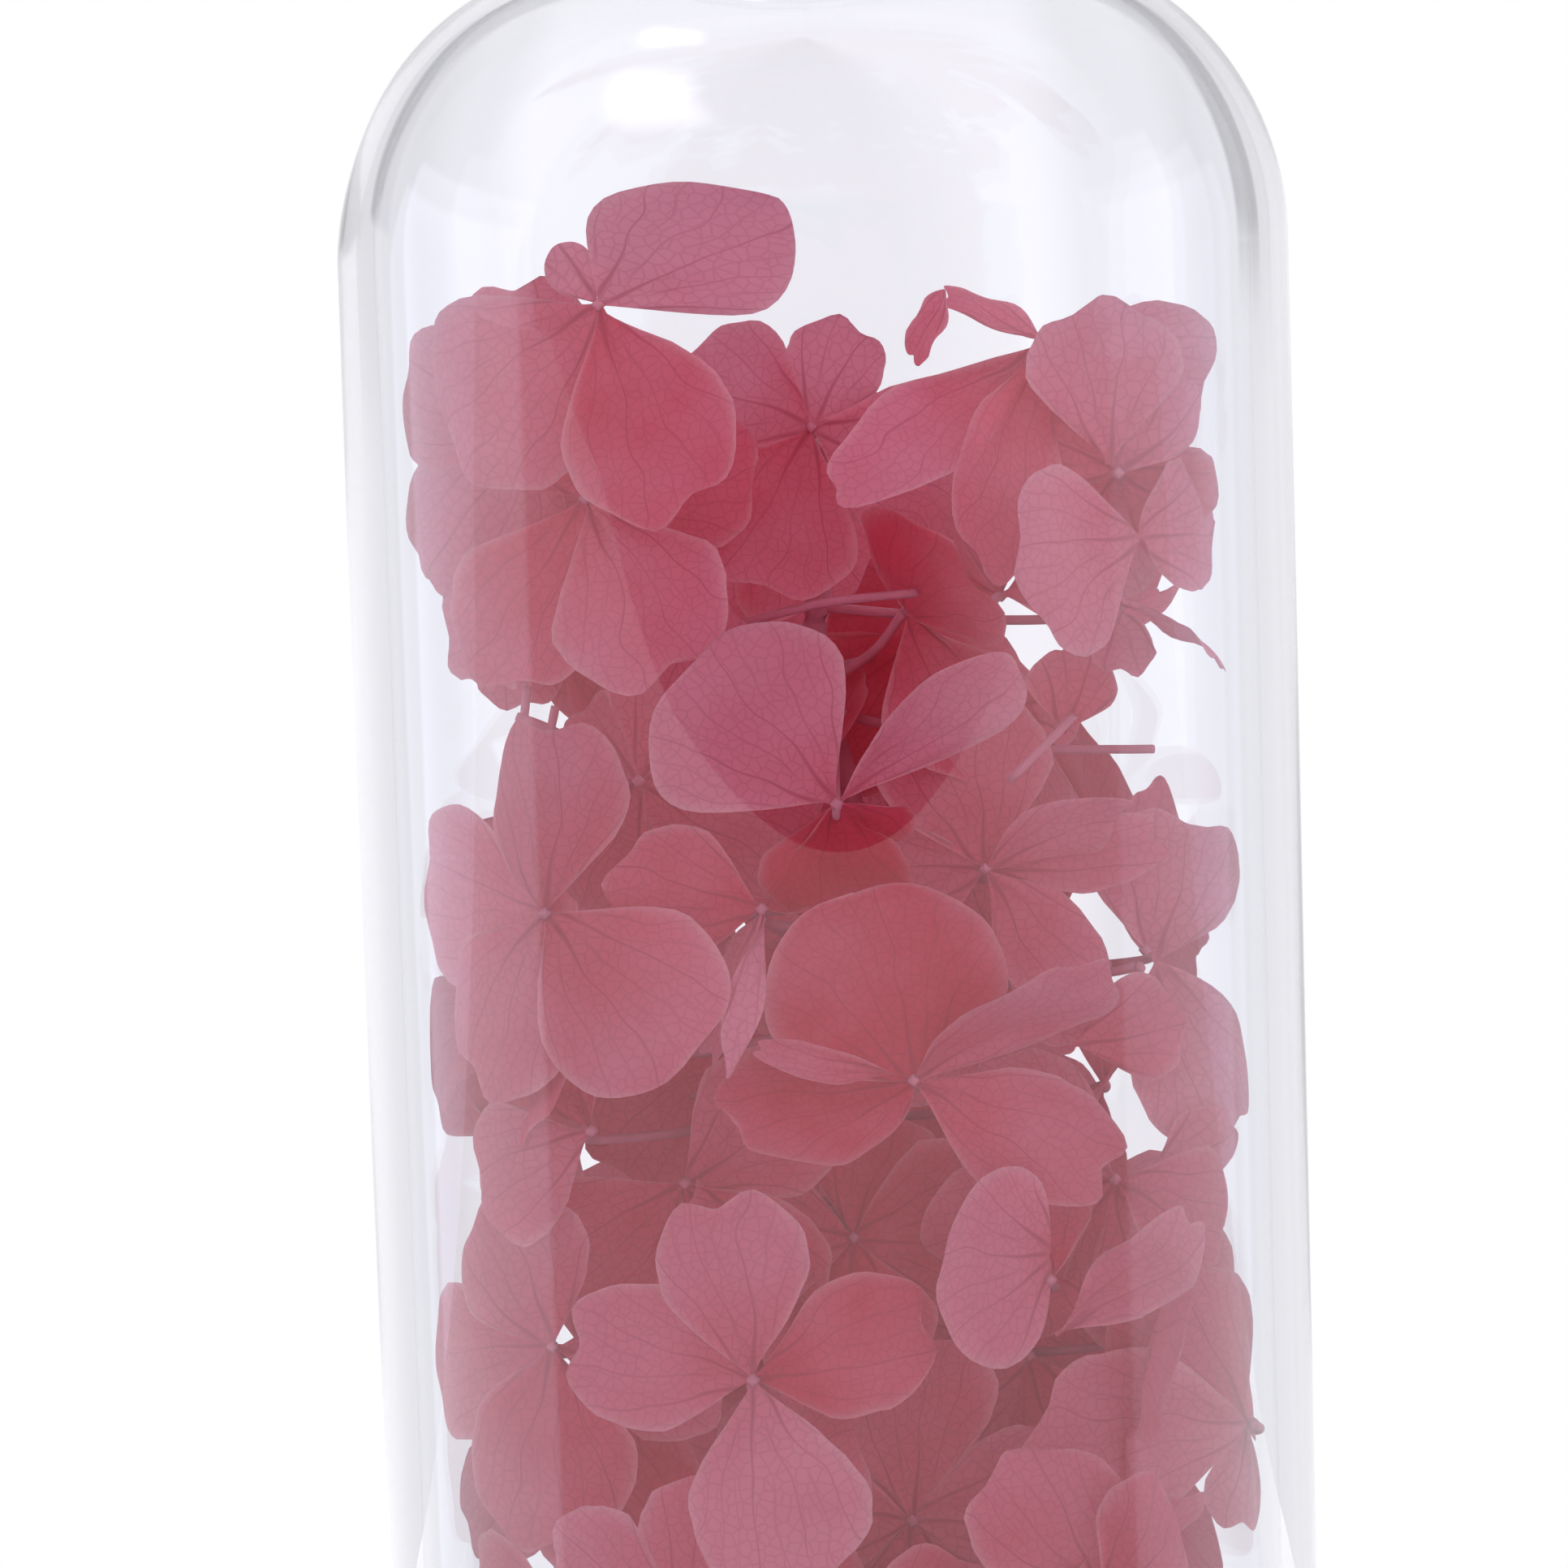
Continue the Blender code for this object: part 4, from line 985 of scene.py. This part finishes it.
def petalMaterial():
    # dyed, glycerine-preserved petal: matt and papery, light passes through it and shows the veins
    p = petalForm
    material, tree = newMaterial("preservedPetal")
    plan = addNode(tree, "ShaderNodeAttribute", attribute_name="plan").outputs["Vector"]
    tone = addNode(tree, "ShaderNodeAttribute", attribute_name="tone").outputs["Fac"]
    rim = addNode(tree, "ShaderNodeAttribute", attribute_name="rim").outputs["Fac"]
    parts = addNode(tree, "ShaderNodeSeparateXYZ", {0: plan})
    along = addNode(tree, "ShaderNodeMath", {0: parts.outputs["X"], 1: p["veinRoot"]},
                    operation="ADD").outputs[0]
    flat = addNode(tree, "ShaderNodeCombineXYZ", {"X": along, "Y": parts.outputs["Y"]})
    radius = addNode(tree, "ShaderNodeVectorMath", {0: flat.outputs[0]}, operation="LENGTH").outputs["Value"]
    turn = addNode(tree, "ShaderNodeMath", {0: parts.outputs["Y"], 1: along}, operation="ARCTAN2").outputs[0]
    beside = addNode(tree, "ShaderNodeMath", {0: parts.outputs["X"], 1: parts.outputs["Z"]}, operation="ADD")
    patch = addNode(tree, "ShaderNodeCombineXYZ", {"X": beside.outputs[0], "Y": parts.outputs["Y"]})
    patch = patch.outputs[0]      # each petal's own patch of the patterns
    sway = addNode(tree, "ShaderNodeTexNoise", {"Vector": patch, "Scale": 0.16, "Detail": 1.0},
                   noise_dimensions="2D")
    swayed = addNode(tree, "ShaderNodeMath", {0: sway.outputs["Fac"], 1: p["veinSway"], 2: turn},
                     operation="MULTIPLY_ADD").outputs[0]
    wide = addNode(tree, "ShaderNodeMapRange", {
        "Value": radius, "From Min": 1.0, "From Max": 6.0, "To Min": p["veinHalf"] * p["veinWider"],
        "To Max": p["veinHalf"]}).outputs[0]
    veins = None
    for halving, start, strength in p["veinSteps"]:
        step = math.radians(p["veinStep"]) / halving
        wave = addNode(tree, "ShaderNodeMath", {0: swayed, 1: step}, operation="PINGPONG").outputs[0]
        apart = addNode(tree, "ShaderNodeMath", {0: wave, 1: radius}, operation="MULTIPLY").outputs[0]
        apart = addNode(tree, "ShaderNodeMath", {0: apart, 1: wide}, operation="DIVIDE").outputs[0]
        line = addNode(tree, "ShaderNodeMapRange", {
            "Value": apart, "From Min": 2.2, "From Max": 0.3, "To Max": strength},
            interpolation_type="SMOOTHSTEP").outputs[0]
        grown = addNode(tree, "ShaderNodeMapRange", {
            "Value": radius, "From Min": start, "From Max": start + 2.0})
        line = addNode(tree, "ShaderNodeMath", {0: line, 1: grown.outputs[0]},
                       operation="MULTIPLY").outputs[0]
        if veins:
            line = addNode(tree, "ShaderNodeMath", {0: veins, 1: line}, operation="MAXIMUM").outputs[0]
        veins = line
    cells = addNode(tree, "ShaderNodeTexVoronoi", {"Vector": patch, "Scale": 1 / p["netSize"]},
                    feature="DISTANCE_TO_EDGE", voronoi_dimensions="2D")
    net = addNode(tree, "ShaderNodeMapRange", {
        "Value": cells.outputs["Distance"], "From Min": 0.12, "From Max": 0.02,
        "To Max": p["netDepth"]}).outputs[0]
    lines = addNode(tree, "ShaderNodeMath", {0: veins, 1: net}, operation="MAXIMUM").outputs[0]
    base = addNode(tree, "ShaderNodeMapRange", {
        "Value": radius, "From Min": 1.0, "From Max": 7.0, "To Min": p["veinDepth"][0],
        "To Max": p["veinDepth"][1]}).outputs[0]
    dark = addNode(tree, "ShaderNodeMath", {0: lines, 1: base}, operation="MULTIPLY").outputs[0]
    blotch = addNode(tree, "ShaderNodeTexNoise", {"Vector": patch, "Scale": 0.15, "Detail": 2.0},
                     noise_dimensions="2D")
    blotch = addNode(tree, "ShaderNodeMapRange", {
        "Value": blotch.outputs["Fac"], "To Min": -p["blotch"], "To Max": p["blotch"]})
    outer = addNode(tree, "ShaderNodeMapRange", {
        "Value": radius, "From Min": 2.0, "From Max": 12.0, "To Min": -0.12, "To Max": 0.16})
    share = addNode(tree, "ShaderNodeMath", {0: blotch.outputs[0], 1: outer.outputs[0]}, operation="ADD")
    # each petal's tone: its own dye, and painted shade where a tone below 0 is set
    share = addNode(tree, "ShaderNodeMath", {0: share.outputs[0], 1: tone}, operation="ADD",
                    use_clamp=True).outputs[0]
    body = addNode(tree, "ShaderNodeMix", {
        0: share, 6: linearColour(p["deep"]), 7: linearColour(p["pale"])}, data_type="RGBA").outputs[2]
    veined = addNode(tree, "ShaderNodeMix", {
        0: dark, 6: body, 7: linearColour(p["veinDark"])}, data_type="RGBA").outputs[2]
    edge = addNode(tree, "ShaderNodeMath", {0: rim, 1: p["rimPower"]}, operation="POWER").outputs[0]
    pale = addNode(tree, "ShaderNodeMath", {0: edge, 1: p["rimShare"]}, operation="MULTIPLY").outputs[0]
    colour = addNode(tree, "ShaderNodeMix", {
        0: pale, 6: veined, 7: linearColour(p["petalRim"])}, data_type="RGBA").outputs[2]
    crumple = addNode(tree, "ShaderNodeTexNoise", {
        "Vector": patch, "Scale": 1 / p["crumpleSize"], "Detail": 2.0}, noise_dimensions="2D")
    height = addNode(tree, "ShaderNodeMath", {0: veins, 1: -0.12, 2: crumple.outputs["Fac"]},
                     operation="MULTIPLY_ADD").outputs[0]
    bump = addNode(tree, "ShaderNodeBump", {"Height": height, "Strength": 0.6, "Distance": 0.2 * mm})
    skin = addNode(tree, "ShaderNodeBsdfPrincipled", {
        "Base Color": colour, "Roughness": 0.6, "Specular IOR Level": 0.6, "Normal": bump.outputs[0]})
    shade = addNode(tree, "ShaderNodeMath", {0: lines, 1: p["throughVeins"]}, operation="MULTIPLY").outputs[0]
    shade = addNode(tree, "ShaderNodeMath", {0: edge, 1: p["throughRim"], 2: shade},
                    operation="MULTIPLY_ADD", use_clamp=True).outputs[0]
    passed = addNode(tree, "ShaderNodeMix", {
        0: share, 6: linearColour(p["throughDeep"]), 7: linearColour(p["throughPale"])},
        data_type="RGBA").outputs[2]
    passed = addNode(tree, "ShaderNodeMix", {
        0: shade, 6: passed, 7: linearColour(p["throughVein"])}, data_type="RGBA").outputs[2]
    through = addNode(tree, "ShaderNodeBsdfTranslucent", {"Color": passed, "Normal": bump.outputs[0]})
    both = addNode(tree, "ShaderNodeMixShader", {
        0: p["throughShare"], 1: skin.outputs[0], 2: through.outputs[0]})
    addNode(tree, "ShaderNodeOutputMaterial", {"Surface": both.outputs[0]})
    return material


# The petals that one sees first, shaped more closely: the numbers of the floret and of its petal,
# and what differs. A shift moves the petal's root.
closerPetals = {
    (0, 0): {"angle": 29.5, "length": 13.6, "width": 11.6, "slant": 0.46, "claw": 1.05, "widestAt": 0.5,
             "tip": 1.55, "tone": 1.0, "uneven": 0.2},
    (0, 1): {"angle": 128, "length": 4.4, "width": 3.2, "lean": -10, "tip": 2.2, "tone": 0.9, "uneven": 0.2},
    (0, 2): {"angle": 220, "width": 14.0, "tone": 0.5},
    (0, 3): {"tone": 0.3},
    (2, 0): {"angle": 163, "length": 10.5, "width": 12.2, "tone": 0.65},
    (2, 1): {"length": 7.4, "width": 7.0, "lean": -10, "tone": 0.9},
    (3, 0): {"angle": 217, "length": 18.6, "width": 8.2, "tip": 1.5, "widestAt": 0.56, "tone": 0.6},
    (3, 1): {"angle": 249, "length": 17.2, "width": 9.0, "lean": 26, "twist": -30, "bend": 8, "tip": 1.7,
             "tone": 0.4},
    (3, 2): {"tone": 0.7},
    (3, 3): {"angle": 151, "length": 7.2, "width": 8.0, "lean": 0, "twist": 78, "bend": -12, "tip": 2.8,
             "claw": 0.8, "tone": 0.6},
    (5, 0): {"angle": 50, "length": 8.0, "width": 5.0, "twist": 0, "tip": 1.3, "tone": 0.8},
    (5, 3): {"length": 7.0},
    (6, 0): {"shift": (1.7, 0.0, 4.2), "angle": 190, "length": 10.6, "width": 12.6, "lean": 35, "twist": 0,
             "tone": 0.9},
    (6, 1): {"shift": (1.7, 0.0, 4.2), "angle": 8, "length": 6.5, "width": 9.0, "lean": -45, "twist": 0,
             "tone": 0.7},
    (6, 2): {"tone": 0.7},
    (7, 0): {"angle": 133, "length": 13.3, "width": 14.8, "tone": 0.75, "uneven": 0.4},
    (7, 1): {"tone": 0.7, "uneven": 0.4},
    # these two lie in the shade of the petals above them: their tone below 0 pulls them to the deepest dye as
    # painted shade
    (7, 2): {"angle": 268, "length": 12.0, "width": 10.0, "lean": -53, "tone": -0.8},
    (7, 3): {"angle": -62, "length": 9.0, "width": 8.0, "lean": -62, "tone": -0.4},
    (8, 0): {"angle": 29, "length": 10.2, "tip": 1.4},
    (8, 1): {"angle": -50, "length": 12.0},
    (12, 0): {"angle": -47, "length": 13.2, "width": 13.4, "tone": 0.4, "uneven": 0.3},
    (12, 1): {"angle": 92, "length": 12.6, "width": 11.5, "twist": 20, "tone": 0.4},
    (13, 0): {"shift": (0.7, 0.0, -0.9), "angle": 80, "length": 10.0, "width": 11.0, "tone": 0.7},
    (13, 1): {"shift": (0.7, 0.0, -0.9), "angle": -70, "length": 12.4, "width": 9.0, "twist": 0, "claw": 0.8,
              "widestAt": 0.66, "tip": 3.0, "tone": 0.7},
    (13, 2): {"shift": (0.7, 0.0, -0.9), "angle": 88, "length": 12.4, "width": 5.0, "tip": 1.5, "tone": 0.4},
    (15, 0): {"length": 14.8, "claw": 0.7, "widestAt": 0.46, "tip": 2.1, "tone": 0.0, "uneven": 0.3},
    (15, 1): {"angle": 36, "tone": 0.5},
    (15, 2): {"angle": 190, "length": 12.4, "width": 12.0, "lean": 10, "twist": 52, "claw": 0.7,
              "widestAt": 0.5, "tone": 0.1},
    (15, 3): {"angle": -30, "length": 15.0, "width": 9.0, "lean": -18, "tone": 0.4},
    (16, 0): {"angle": 252, "length": 10.9, "tone": 1.0},
    (18, 0): {"shift": (0.0, 0.0, 1.6), "angle": 178, "length": 10.4, "width": 13.6, "lean": 42, "twist": 0,
              "claw": 0.45, "widestAt": 0.42, "tip": 2.1, "tone": 0.8, "uneven": 0.3},
    (18, 1): {"shift": (0.3, 0.0, -3.9), "angle": 40, "length": 13.4, "width": 6.5, "lean": 8, "twist": 22},
    (20, 0): {"tone": 0.55},
    (20, 1): {"tone": 0.6},
    (20, 2): {"tone": 0.85},
    (20, 3): {"tone": 0.1},
    (21, 1): {"length": 11.8},
}
movedFlorets = {8: (0.8, 0.0, -3.8)}

# Single petals wedged between the florets: sprig, root, (angle, length, width, lean, twist, bend),
# and what else is set
loosePetals = (
    ("sprig_middle", (-20.0, 3.0, 67.0), (215, 13.0, 12.0, 0, 0, 10), {}),
    ("sprig_middle", (-4.0, 7.0, 62.0), (215, 15.0, 13.0, 0, 0, 8), {}),
    ("sprig_middle", (3.8, -20.4, 64.2), (176, 9.6, 4.0, 6, 62, 24), {"tone": 0.6}),
    ("sprig_low", (9.0, 3.0, 44.0), (-40, 12.0, 12.0, 0, 0, 8), {}),
    ("sprig_bottom", (8.5, -1.0, 31.0), (215, 13.0, 12.0, 0, 0, 8), {}),
    ("sprig_high", (7.0, 4.5, 90.0), (220, 13.0, 12.0, 0, 0, 8), {}),
    ("sprig_top", (8.6, -13.0, 115.3), (246, 5.0, 5.6, 0, 72, 0), {"tone": 0.6, "claw": 0.7, "tip": 2.8}),
    ("sprig_top", (18.9, -13.4, 103.4), (92, 10.6, 10.0, 0, 0, 10), {"tone": 0.8}),
    ("sprig_top", (17.6, -5.0, 98.0), (84, 9.5, 10.0, 0, 0, 8), {"tone": 0.4}),
    ("sprig_top", (15.0, -4.0, 103.5), (88, 6.4, 8.0, 0, 0, 8), {"tone": 0.2}),
    ("sprig_high", (15.9, -8.0, 84.8), (80, 5.6, 6.2, 0, 0, 8), {"tone": 0.5}),
    ("sprig_high", (10.8, -9.0, 75.8), (9, 11.0, 5.2, 0, 0, 6), {"tone": 0.5, "tip": 2.6}),
    ("sprig_middle", (15.8, -10.0, 63.9), (14, 7.2, 7.4, 0, 0, 6), {"tone": 0.5}),
    ("sprig_middle", (21.0, -9.0, 55.0), (28, 6.2, 4.8, 0, 0, 6), {"tone": 0.6}),
    ("sprig_middle", (-4.5, -22.5, 75.3), (255, 10.2, 2.5, 0, 0, 8), {"tone": 1.3, "tip": 1.6}),
)
outlineNames = ("claw", "widestAt", "tip", "uneven")


def shapedPetal(floret, order, spec):
    closer = closerPetals.get((floret["number"], order), {})
    made = {name: closer.get(name, spec[name]) for name in ("angle", "length", "width", "lean", "twist")}
    more = list(spec["more"]) + [petalForm["bend"], 0.0][len(spec["more"]):]
    more[0] = closer.get("bend", more[0])
    more[1] = closer.get("slant", more[1])
    root = floret["centre"] + Vector(closer.get("shift", (0, 0, 0)))
    petal = makePetal(root, floret["right"], floret["up"], floret["face"], made["angle"], made["length"],
                      made["width"], made["lean"], made["twist"], *more)
    petal["outline"] = {name: closer[name] for name in outlineNames if name in closer}
    petal["front"] = floret["number"] < len(frontFlorets)
    petal["tone"] = closer.get("tone")
    return petal


def loosePetal(root, sizes, more):
    petal = makePetal(Vector(root), Vector((1, 0, 0)), Vector((0, 0, 1)), Vector((0, -1, 0)), *sizes)
    outline = {name: more[name] for name in outlineNames if name in more}
    petal.update({"outline": outline, "front": False, "tone": more.get("tone")})
    return petal


def petalOutline(draw, given):
    p = petalForm
    outline = {"claw": draw.uniform(*p["claw"]), "widestAt": draw.uniform(*p["widestAt"]),
               "tip": draw.uniform(*p["tip"]), "uneven": 1.0}
    outline.update(given)
    return outline


def halfWidth(outline, u):
    widest = outline["widestAt"]
    if u < widest:
        return max(petalForm["rootShare"], math.sin(math.pi / 2 * (u / widest) ** outline["claw"]))
    power = outline["tip"]
    return max(0.0, 1 - ((u - widest) / (1 - widest)) ** power) ** (1 / power)


def petalMesh(petal, draw):
    p = petalForm
    rows, columns = p["rows"], p["columns"]
    outline = petalOutline(draw, petal["outline"])
    phase = draw.uniform(0, math.tau)
    waves = draw.uniform(*p["ripples"])
    ripple = draw.uniform(*p["ripple"])
    number = draw.uniform(0, 100)
    low, high = p["frontTone"] if petal["front"] else p["innerTone"]
    tone = draw.uniform(low, high)
    if petal["tone"] is not None:
        tone = petal["tone"]
    edges = [(draw.uniform(*p["unevenTimes"]), draw.uniform(0, math.tau)) for side in range(2)]
    points = []
    plan = []
    rim = []
    for i in range(rows + 1):
        u = (1 - math.cos(math.pi * 0.99 * i / rows)) / 2  # closer rows at the root and the tip
        sides = []
        for times, begin in edges:
            wander = math.sin(math.tau * times * u + begin)
            wander += 0.5 * math.sin(math.tau * times * 2.7 * u + begin * 2)
            sides.append(halfWidth(outline, u) * (1 + p["uneven"] * outline["uneven"] * wander))
        for j in range(columns + 1):
            v = math.sin(math.pi / 2 * (2 * j / columns - 1))
            width = sides[1 if v > 0 else 0]
            margin = abs(v) ** 3
            lift = ripple * margin * math.sin(math.tau * waves * u + phase + (1.3 if v > 0 else 0))
            lift -= p["groove"] * math.exp(-(v / p["grooveHalf"]) ** 2) * (1 - u) ** 3 * min(1.0, u * 6)
            lift += p["pleat"] * math.sin(v * p["pleats"] + phase) * (1 - u) ** 1.5 * min(1.0, u * 4)
            nibble = p["unevenTip"] * outline["uneven"] * u ** 3 * math.sin(v * width * 6 + phase)
            along = u * p["overhang"] * (1 + nibble)
            x, y = along * petal["length"], v * width * petal["width"] / 2
            spot = Vector((x * p["crumples"][0], y * p["crumples"][1], number))
            lift += p["crumple"] * noise.noise(spot) * min(1.0, u * 2.5)
            points.append(petalPlace(petal, along, v * width, lift))
            plan.append((x, y, number))
            rim.append(min(1.0, max(abs(v), (u - p["rimFrom"]) / (1 - p["rimFrom"]), 0.0)))
    across = columns + 1
    faces = []
    for i in range(rows):
        for j in range(columns):
            a = i * across + j
            faces.append((a, a + 1, a + across + 1, a + across))
    return points, faces, plan, rim, [tone] * len(points)


def addPetals(name, florets, material, draw):
    petals = [shapedPetal(floret, order, spec)
              for floret in florets for order, spec in floret["laid"].items()]
    petals += [loosePetal(*entry) for owner, *entry in loosePetals if owner == name]
    points, faces, plan, rim, tone = [], [], [], [], []
    for petal in petals:
        own = petalMesh(petal, draw)
        start = len(points)
        points += own[0]
        faces += [tuple(start + index for index in face) for face in own[1]]
        plan += own[2]
        rim += own[3]
        tone += own[4]
    piece = addMesh(name + "_petals", points, faces, material)
    mesh = piece.data
    flat = [coordinate for place in plan for coordinate in place]
    mesh.attributes.new("plan", "FLOAT_VECTOR", "POINT").data.foreach_set("vector", flat)
    mesh.attributes.new("rim", "FLOAT", "POINT").data.foreach_set("value", rim)
    mesh.attributes.new("tone", "FLOAT", "POINT").data.foreach_set("value", tone)
    return piece


# Stems: stalks and pedicels, dyed with the petals and dried to a mauve brown
stemForm = {
    "sides": 8,
    "steps": 14,
    "pedicelRadius": 0.3,
    "neckRadius": 0.36,
    "budRadius": 0.4,
    "stalkRadius": 0.9,
    "stalkSteps": 6,
    "highest": 103.0,             # where the topmost pedicels leave the stalk
    "behind": 6.0,                # a pedicel comes up this far behind its floret
    "droop": 2.5,                 # and this far below it
    "budLobes": 0.16,
    "pale": "#d9869c",
    "dark": "#b0566e",
    "fibre": 0.35,                # one fibre ridge
    "fibreDepth": 0.12,
}

# More pedicels that have lost their floret, thinner than those of the CAD
thinTwigs = (
    ("sprig_high", ((-20.3, -14.0, 88.0), (-18.8, -14.2, 87.4), (-17.4, -14.0, 86.6))),
    ("sprig_high", ((-17.8, -14.0, 88.6), (-18.2, -14.2, 87.0), (-18.9, -14.0, 85.5))),
    ("sprig_high", ((11.9, -12.0, 82.3), (15.2, -12.0, 85.5), (16.3, -12.0, 86.6))),
)


def stemMaterial():
    # dried plant stem: woody, matt, with fine ridges along it
    material, tree = newMaterial("preservedStem")
    place = addNode(tree, "ShaderNodeTexCoord").outputs["Object"]
    blotch = addNode(tree, "ShaderNodeTexNoise", {"Vector": place, "Scale": 180.0, "Detail": 4.0})
    colour = addNode(tree, "ShaderNodeMix", {0: blotch.outputs["Fac"], 6: linearColour(stemForm["dark"]),
                                             7: linearColour(stemForm["pale"])}, data_type="RGBA")
    fibre = addNode(tree, "ShaderNodeTexNoise", {"Vector": place, "Scale": 1 / (stemForm["fibre"] * mm),
                                                 "Detail": 2.0})
    bump = addNode(tree, "ShaderNodeBump", {"Height": fibre.outputs["Fac"], "Strength": 0.6,
                                            "Distance": stemForm["fibreDepth"] * mm})
    wood = addNode(tree, "ShaderNodeBsdfPrincipled", {"Base Color": colour.outputs[2], "Roughness": 0.75,
                                                      "Specular IOR Level": 0.3, "Normal": bump.outputs[0]})
    addNode(tree, "ShaderNodeOutputMaterial", {"Surface": wood.outputs[0]})
    return material


def smoothPath(path, steps):
    ends = [path[0] * 2 - path[1]] + list(path) + [path[-1] * 2 - path[-2]]
    fine = []
    for i in range(1, len(ends) - 2):
        a, b, c, d = ends[i - 1:i + 3]
        for k in range(steps):
            t = k / steps
            fine.append((b * 2 + (c - a) * t + (a * 2 - b * 5 + c * 4 - d) * t * t
                         + (b * 3 - a - c * 3 + d) * t * t * t) / 2)
    fine.append(path[-1])
    return fine


def budSolid(centre, face, radius):
    turned = face.to_track_quat("Z", "Y")
    rings, sides = 6, 12
    points = [centre - face * radius]
    for i in range(1, rings):
        lift = -math.cos(math.pi * i / rings)
        for k in range(sides):
            turn = math.tau * k / sides
            lobe = 1.0 + stemForm["budLobes"] * math.cos(4 * turn)
            size = radius * math.sin(math.pi * i / rings) * lobe
            points.append(centre + turned @ Vector((size * math.cos(turn), size * math.sin(turn),
                                                    radius * lift)))
    points.append(centre + face * radius * 0.9)
    faces = []
    for k in range(sides):
        following = (k + 1) % sides
        faces.append((0, 1 + following, 1 + k))
        for i in range(rings - 2):
            a = 1 + i * sides
            faces.append((a + k, a + following, a + sides + following, a + sides + k))
        last = 1 + (rings - 2) * sides
        faces.append((len(points) - 1, last + k, last + following))
    return points, faces


def addStems(name, florets, stalk, material):
    f = stemForm
    top = min(f["highest"], max(floret["branching"] for floret in florets)) + 1
    line = [place for place in smoothPath(stalk, f["stalkSteps"]) if place.z < top]
    line.append(pathAt(stalk, top))
    solids = [tubeSolid(line, [f["stalkRadius"]] * len(line), 12)]
    for floret in florets:
        centre, face = floret["centre"], floret["face"]
        start = pathAt(stalk, min(floret["branching"], f["highest"]))
        behind = centre - face * f["behind"] - Vector((0, 0, f["droop"]))
        path = [start, start.lerp(behind, 0.6), behind.lerp(centre, 0.5), centre - face * 0.2]
        path = smoothPath(path, f["steps"])
        last = len(path) - 1
        radii = []
        for i in range(len(path)):
            t = i / last
            swell = max(0.0, (t - 0.7) / 0.3) * (f["neckRadius"] - f["pedicelRadius"])
            radii.append(f["pedicelRadius"] * (1.15 - 0.15 * t) + swell)
        solids.append(tubeSolid(path, radii, f["sides"]))
        solids.append(budSolid(centre + face * 0.1, face, f["budRadius"]))
    bare = [(sprigName, (start, Vector(start).lerp(Vector(end), 0.5) + Vector((0, 0, 0.5)), end))
            for sprigName, start, end in barePedicels]
    for sprigName, path in bare + list(thinTwigs):
        if sprigName == name:
            path = smoothPath([Vector(place) for place in path], f["stalkSteps"])
            solids.append(tubeSolid(path, [f["pedicelRadius"]] * len(path), f["sides"]))
    points, faces = [], []
    for solid in solids:
        start = len(points)
        points += solid[0]
        faces += [tuple(start + index for index in face) for face in solid[1]]
    return addMesh(name + "_stems", points, faces, material)


def addSprigs():
    florets, stalks = layOut()
    petalLook = petalMaterial()
    stemLook = stemMaterial()
    draw = random.Random(petalForm["seed"])
    for name in sprig["names"]:
        own = [floret for floret in florets if floret["sprig"] == name]
        for piece in (addPetals(name, own, petalLook, draw),
                      addStems(name, own, stalks[name], stemLook)):
            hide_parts(name)
            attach(piece, "root")
        print(name, len(own), "florets")


addSprigs()

bpy.context.scene.view_settings.view_transform = "Standard"
